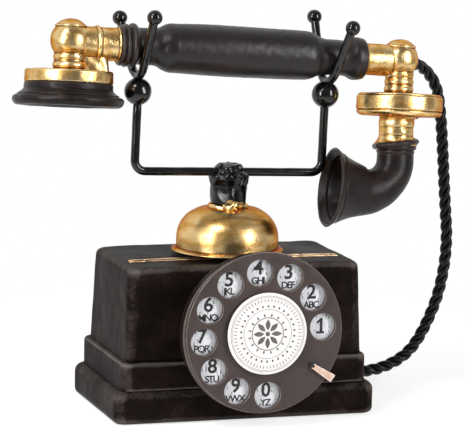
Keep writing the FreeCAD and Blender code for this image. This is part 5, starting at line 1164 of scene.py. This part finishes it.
# The figure one, with its flag and foot
def onePlain():
    corners = [(-2.3, -3.65), (1.6, -3.65), (1.6, -2.6), (0.75, -2.6), (0.75, 3.65),
               (-0.35, 3.65), (-2.0, 2.0), (-2.0, 0.8), (-0.6, 1.9), (-0.6, -2.6), (-2.3, -2.6)]
    flat = np.hstack([np.array(corners), np.full((len(corners), 1), spotLook["thick"])])
    return flat, [list(range(len(corners)))]


def makeSpots():
    radius, top = dialLook["spot"], dialLook["plateTop"]
    discs = [([(0, top - 0.3), (radius, top - 0.3), (radius, top + 0.12), (0, top + 0.12)],
              moved(dial, x=x, y=y)) for x, y in holePlaces]
    turnedPiece("numberSpots", discs, columns=56, step=0.6, blur=0.1, material=silverSpots,
                body="base", slot="spot_plate")
    points, faces, total = [], [], 0
    for (x, y), digit, letters in zip(holePlaces, spotLook["digits"], spotLook["letters"]):
        words = [(onePlain() if digit == "1" else wordMesh(digit, **spotLook["digit"]),
                  spotLook["digitUp"] if letters else 0.0)]
        if letters:
            words.append((wordMesh(letters, **spotLook["letter"]), spotLook["letterUp"]))
        for (flat, shapes), up in words:
            points.append(flat + (x, y + up, top + 0.15))
            faces += [[index + total for index in shape] for shape in shapes]
            total += len(flat)
    meshPiece("dialFigures", np.vstack(points), faces, blackInk, "base", slot="spot_plate",
              base=dial, smooth=False)


makeSpots()

stopLook = {"angle": -33.0, "inner": 28.2, "outer": 40.9, "narrow": 2.3, "wide": 3.9,
            "thick": 1.2, "gap": 22.5, "down": 12.0}


# Finger stop: a bent strip, in rows across it: out from its tip, over the rim and down the side.
# A row is a flat loop of four softened corners, its width growing outwards
def makeStop(angle, inner, outer, narrow, wide, thick, gap, down):
    middle = gap + thick / 2
    spine = softened([(inner, middle), (outer - 1.6, middle), (outer - 0.75, gap + thick - 1.35),
                      (outer - 0.75, down)], 0.3, 0.5)
    width = (narrow + (wide - narrow) * np.clip((spine[:, 0] - inner) / (outer - inner), 0, 1)) / 2
    heading = np.gradient(spine, axis=0)
    heading /= np.linalg.norm(heading, axis=1)[:, None]
    loop = softened([(-1, -1), (1, -1), (1, 1), (-1, 1)], 0.1, 0.09, True)
    ends = np.array([0.0, 0.6, 0.9])
    width = np.concatenate([ends * width[0], width, ends[::-1] * width[-1]])
    thin = np.concatenate([ends, np.ones(len(spine)), ends[::-1]]) * thick / 2
    out = held(heading[:, ::-1] * (-1, 1), 3) * thin[:, None]
    flat = held(spine, 3)[:, None] + loop[:, 1:] * out[:, None]
    y = loop[None, :, 0] * width[:, None]
    place = moved(dial, angle=angle)
    grid = placed(np.stack([flat[..., 0], y, flat[..., 1]], -1), place)
    surface("fingerStop", [grid], (False, True), (0.04, 5, 81), material=agedNickel, body="base",
            slot="nickel")
    # A dark rubber tip on the stop's inner end stands where the stop's shadow falls: painted shade
    turnedPiece("stopTip", [([(0, -0.55), (1.25, -0.45, 3), (1.35, 0.0), (1.25, 0.5),
                              (0, 0.75, 3)], moved(place, x=inner - 0.1, z=middle))],
                columns=36, step=0.15, blur=0.15, material=softRubber, body="base",
                slot="rubber")


makeStop(**stopLook)
print("dial made")


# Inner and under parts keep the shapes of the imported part

keptMaterials = {
    brightSteel: ["plunger_rod", "dial_shaft", "dial_frame", "dial_screws", "base_screws",
                  "hook_switch_bracket", "hook_lever", "ringer_frame", "armature", "clapper_pin",
                  "base_plate", "receiver_magnet", "receiver_diaphragm"],
    bluedSteel: ["plunger_spring", "dial_return_spring"],
    turnedBrass: ["guide_tube", "main_gear", "pulse_cam", "governor_shaft", "governor_cup",
                  "governor_weights", "clapper_rod", "hook_switch_springs", "pulse_contacts",
                  "transmitter_capsule"],
    copperWinding: ["ringer_coils", "induction_coil"],
    canAluminium: ["capacitor"],
    fibreBoard: ["terminal_board"],
    woolFelt: ["felt_pad"],
    softRubber: ["line_cord_grommet"]}
for material, names in keptMaterials.items():
    for name in names:
        nodes[name].data.materials.clear()
        nodes[name].data.materials.append(material)
print("inner parts finished")


# Studio: white floor and surroundings, a tall soft box on each side and a square one above

studioLook = {"floor": 0.5, "fade": (0.14, 0.32), "floorTone": "e6e6e6", "glow": 0.62,
              "surround": 0.2, "front": 0.2}
lampLook = {
    "keyBox": {"place": (-0.7, -0.42, 0.33), "aim": (0, 0, 0.12), "size": (0.16, 0.5),
               "power": 4.6},
    "sideBox": {"place": (0.44, -0.62, 0.33), "aim": (0, 0, 0.12), "size": (0.16, 0.5),
                "power": 4.0},
    "topBox": {"place": (-0.5, -0.35, 0.85), "aim": (0, 0, 0.1), "size": (0.24, 0.24),
               "power": 2.6}}
white = (1, 1, 1, 1)


# 1 for rays from the camera, and 1 for all that show what they meet: camera, glossy, through
def seenRays(tree):
    light = addNode(tree, "ShaderNodeLightPath").outputs
    camera, glossy, through = (light["Is %s Ray" % kind]
                               for kind in ("Camera", "Glossy", "Transmission"))
    return camera, mathNode(tree, "MAXIMUM", camera,
                            mathNode(tree, "MAXIMUM", glossy, through))


# Floor disc, its rim fading to plain white where the camera sees it
def makeFloor():
    material, tree = newMaterial("paintedFloor")
    where = addNode(tree, "ShaderNodeTexCoord").outputs["Object"]
    away = addNode(tree, "ShaderNodeVectorMath", {}, {0: where}, operation="LENGTH")
    fade = rangeNode(tree, away.outputs["Value"], *studioLook["fade"],
                     interpolation_type="SMOOTHSTEP")
    seen = seenRays(tree)[1]
    matt = addNode(tree, "ShaderNodeBsdfDiffuse", {"Color": colour(studioLook["floorTone"])})
    glow = addNode(tree, "ShaderNodeEmission", {"Color": white},
                   {"Strength": mathNode(tree, "MULTIPLY", seen, studioLook["glow"])})
    near = addNode(tree, "ShaderNodeAddShader", {}, {0: matt.outputs[0], 1: glow.outputs[0]})
    far = addNode(tree, "ShaderNodeEmission", {"Color": white, "Strength": 1.0})
    share = mathNode(tree, "MULTIPLY", fade, seen)
    mixed = addNode(tree, "ShaderNodeMixShader", {}, {0: share, 1: near.outputs[0],
                                                      2: far.outputs[0]})
    addNode(tree, "ShaderNodeOutputMaterial", {}, {"Surface": mixed.outputs[0]})
    columns = 96
    radii = np.array([0.001, 0.15, 0.3, studioLook["floor"]])[:, None, None] / mm
    grid = np.pad(radii * circle(columns), ((0, 0), (0, 0), (0, 1)))
    floor = meshPiece("studioFloor", grid, gridFaces(len(radii), columns, (False, True)).tolist()
                      + [list(range(columns))], material)
    if floor.data.polygons[0].normal.z < 0:
        floor.data.flip_normals()


def makeWorld():
    surround = bpy.data.worlds.new("studioWorld")
    surround.use_nodes = True
    tree = surround.node_tree
    tree.nodes.clear()
    fromCamera, seen = seenRays(tree)
    # The studio is darker on the side that the photograph is taken from
    way = addNode(tree, "ShaderNodeSeparateXYZ", {}, {
        0: addNode(tree, "ShaderNodeTexCoord").outputs["Generated"]}).outputs[1]
    depth = rangeNode(tree, way, -0.5, 0.5, studioLook["front"])
    shade = addNode(tree, "ShaderNodeMix", {3: 1.0}, {0: fromCamera, 2: depth})
    level = addNode(tree, "ShaderNodeMix", {2: studioLook["surround"]},
                    {0: seen, 3: shade.outputs[0]})
    glow = addNode(tree, "ShaderNodeBackground", {"Color": white}, {"Strength": level.outputs[0]})
    addNode(tree, "ShaderNodeOutputWorld", {}, {"Surface": glow.outputs[0]})
    scene.world = surround


def makeLamp(name, place, aim, size, power):
    lamp = bpy.data.lights.new(name, "AREA")
    lamp.shape = "RECTANGLE"
    lamp.size, lamp.size_y = size
    lamp.energy = power
    holder = bpy.data.objects.new(name, lamp)
    scene.collection.objects.link(holder)
    turn = (Vector(aim) - Vector(place)).to_track_quat("-Z", "Y")
    holder.matrix_world = Matrix.Translation(place) @ turn.to_matrix().to_4x4()


makeFloor()
makeWorld()
for name, look in lampLook.items():
    makeLamp(name, **look)
print("studio lit")
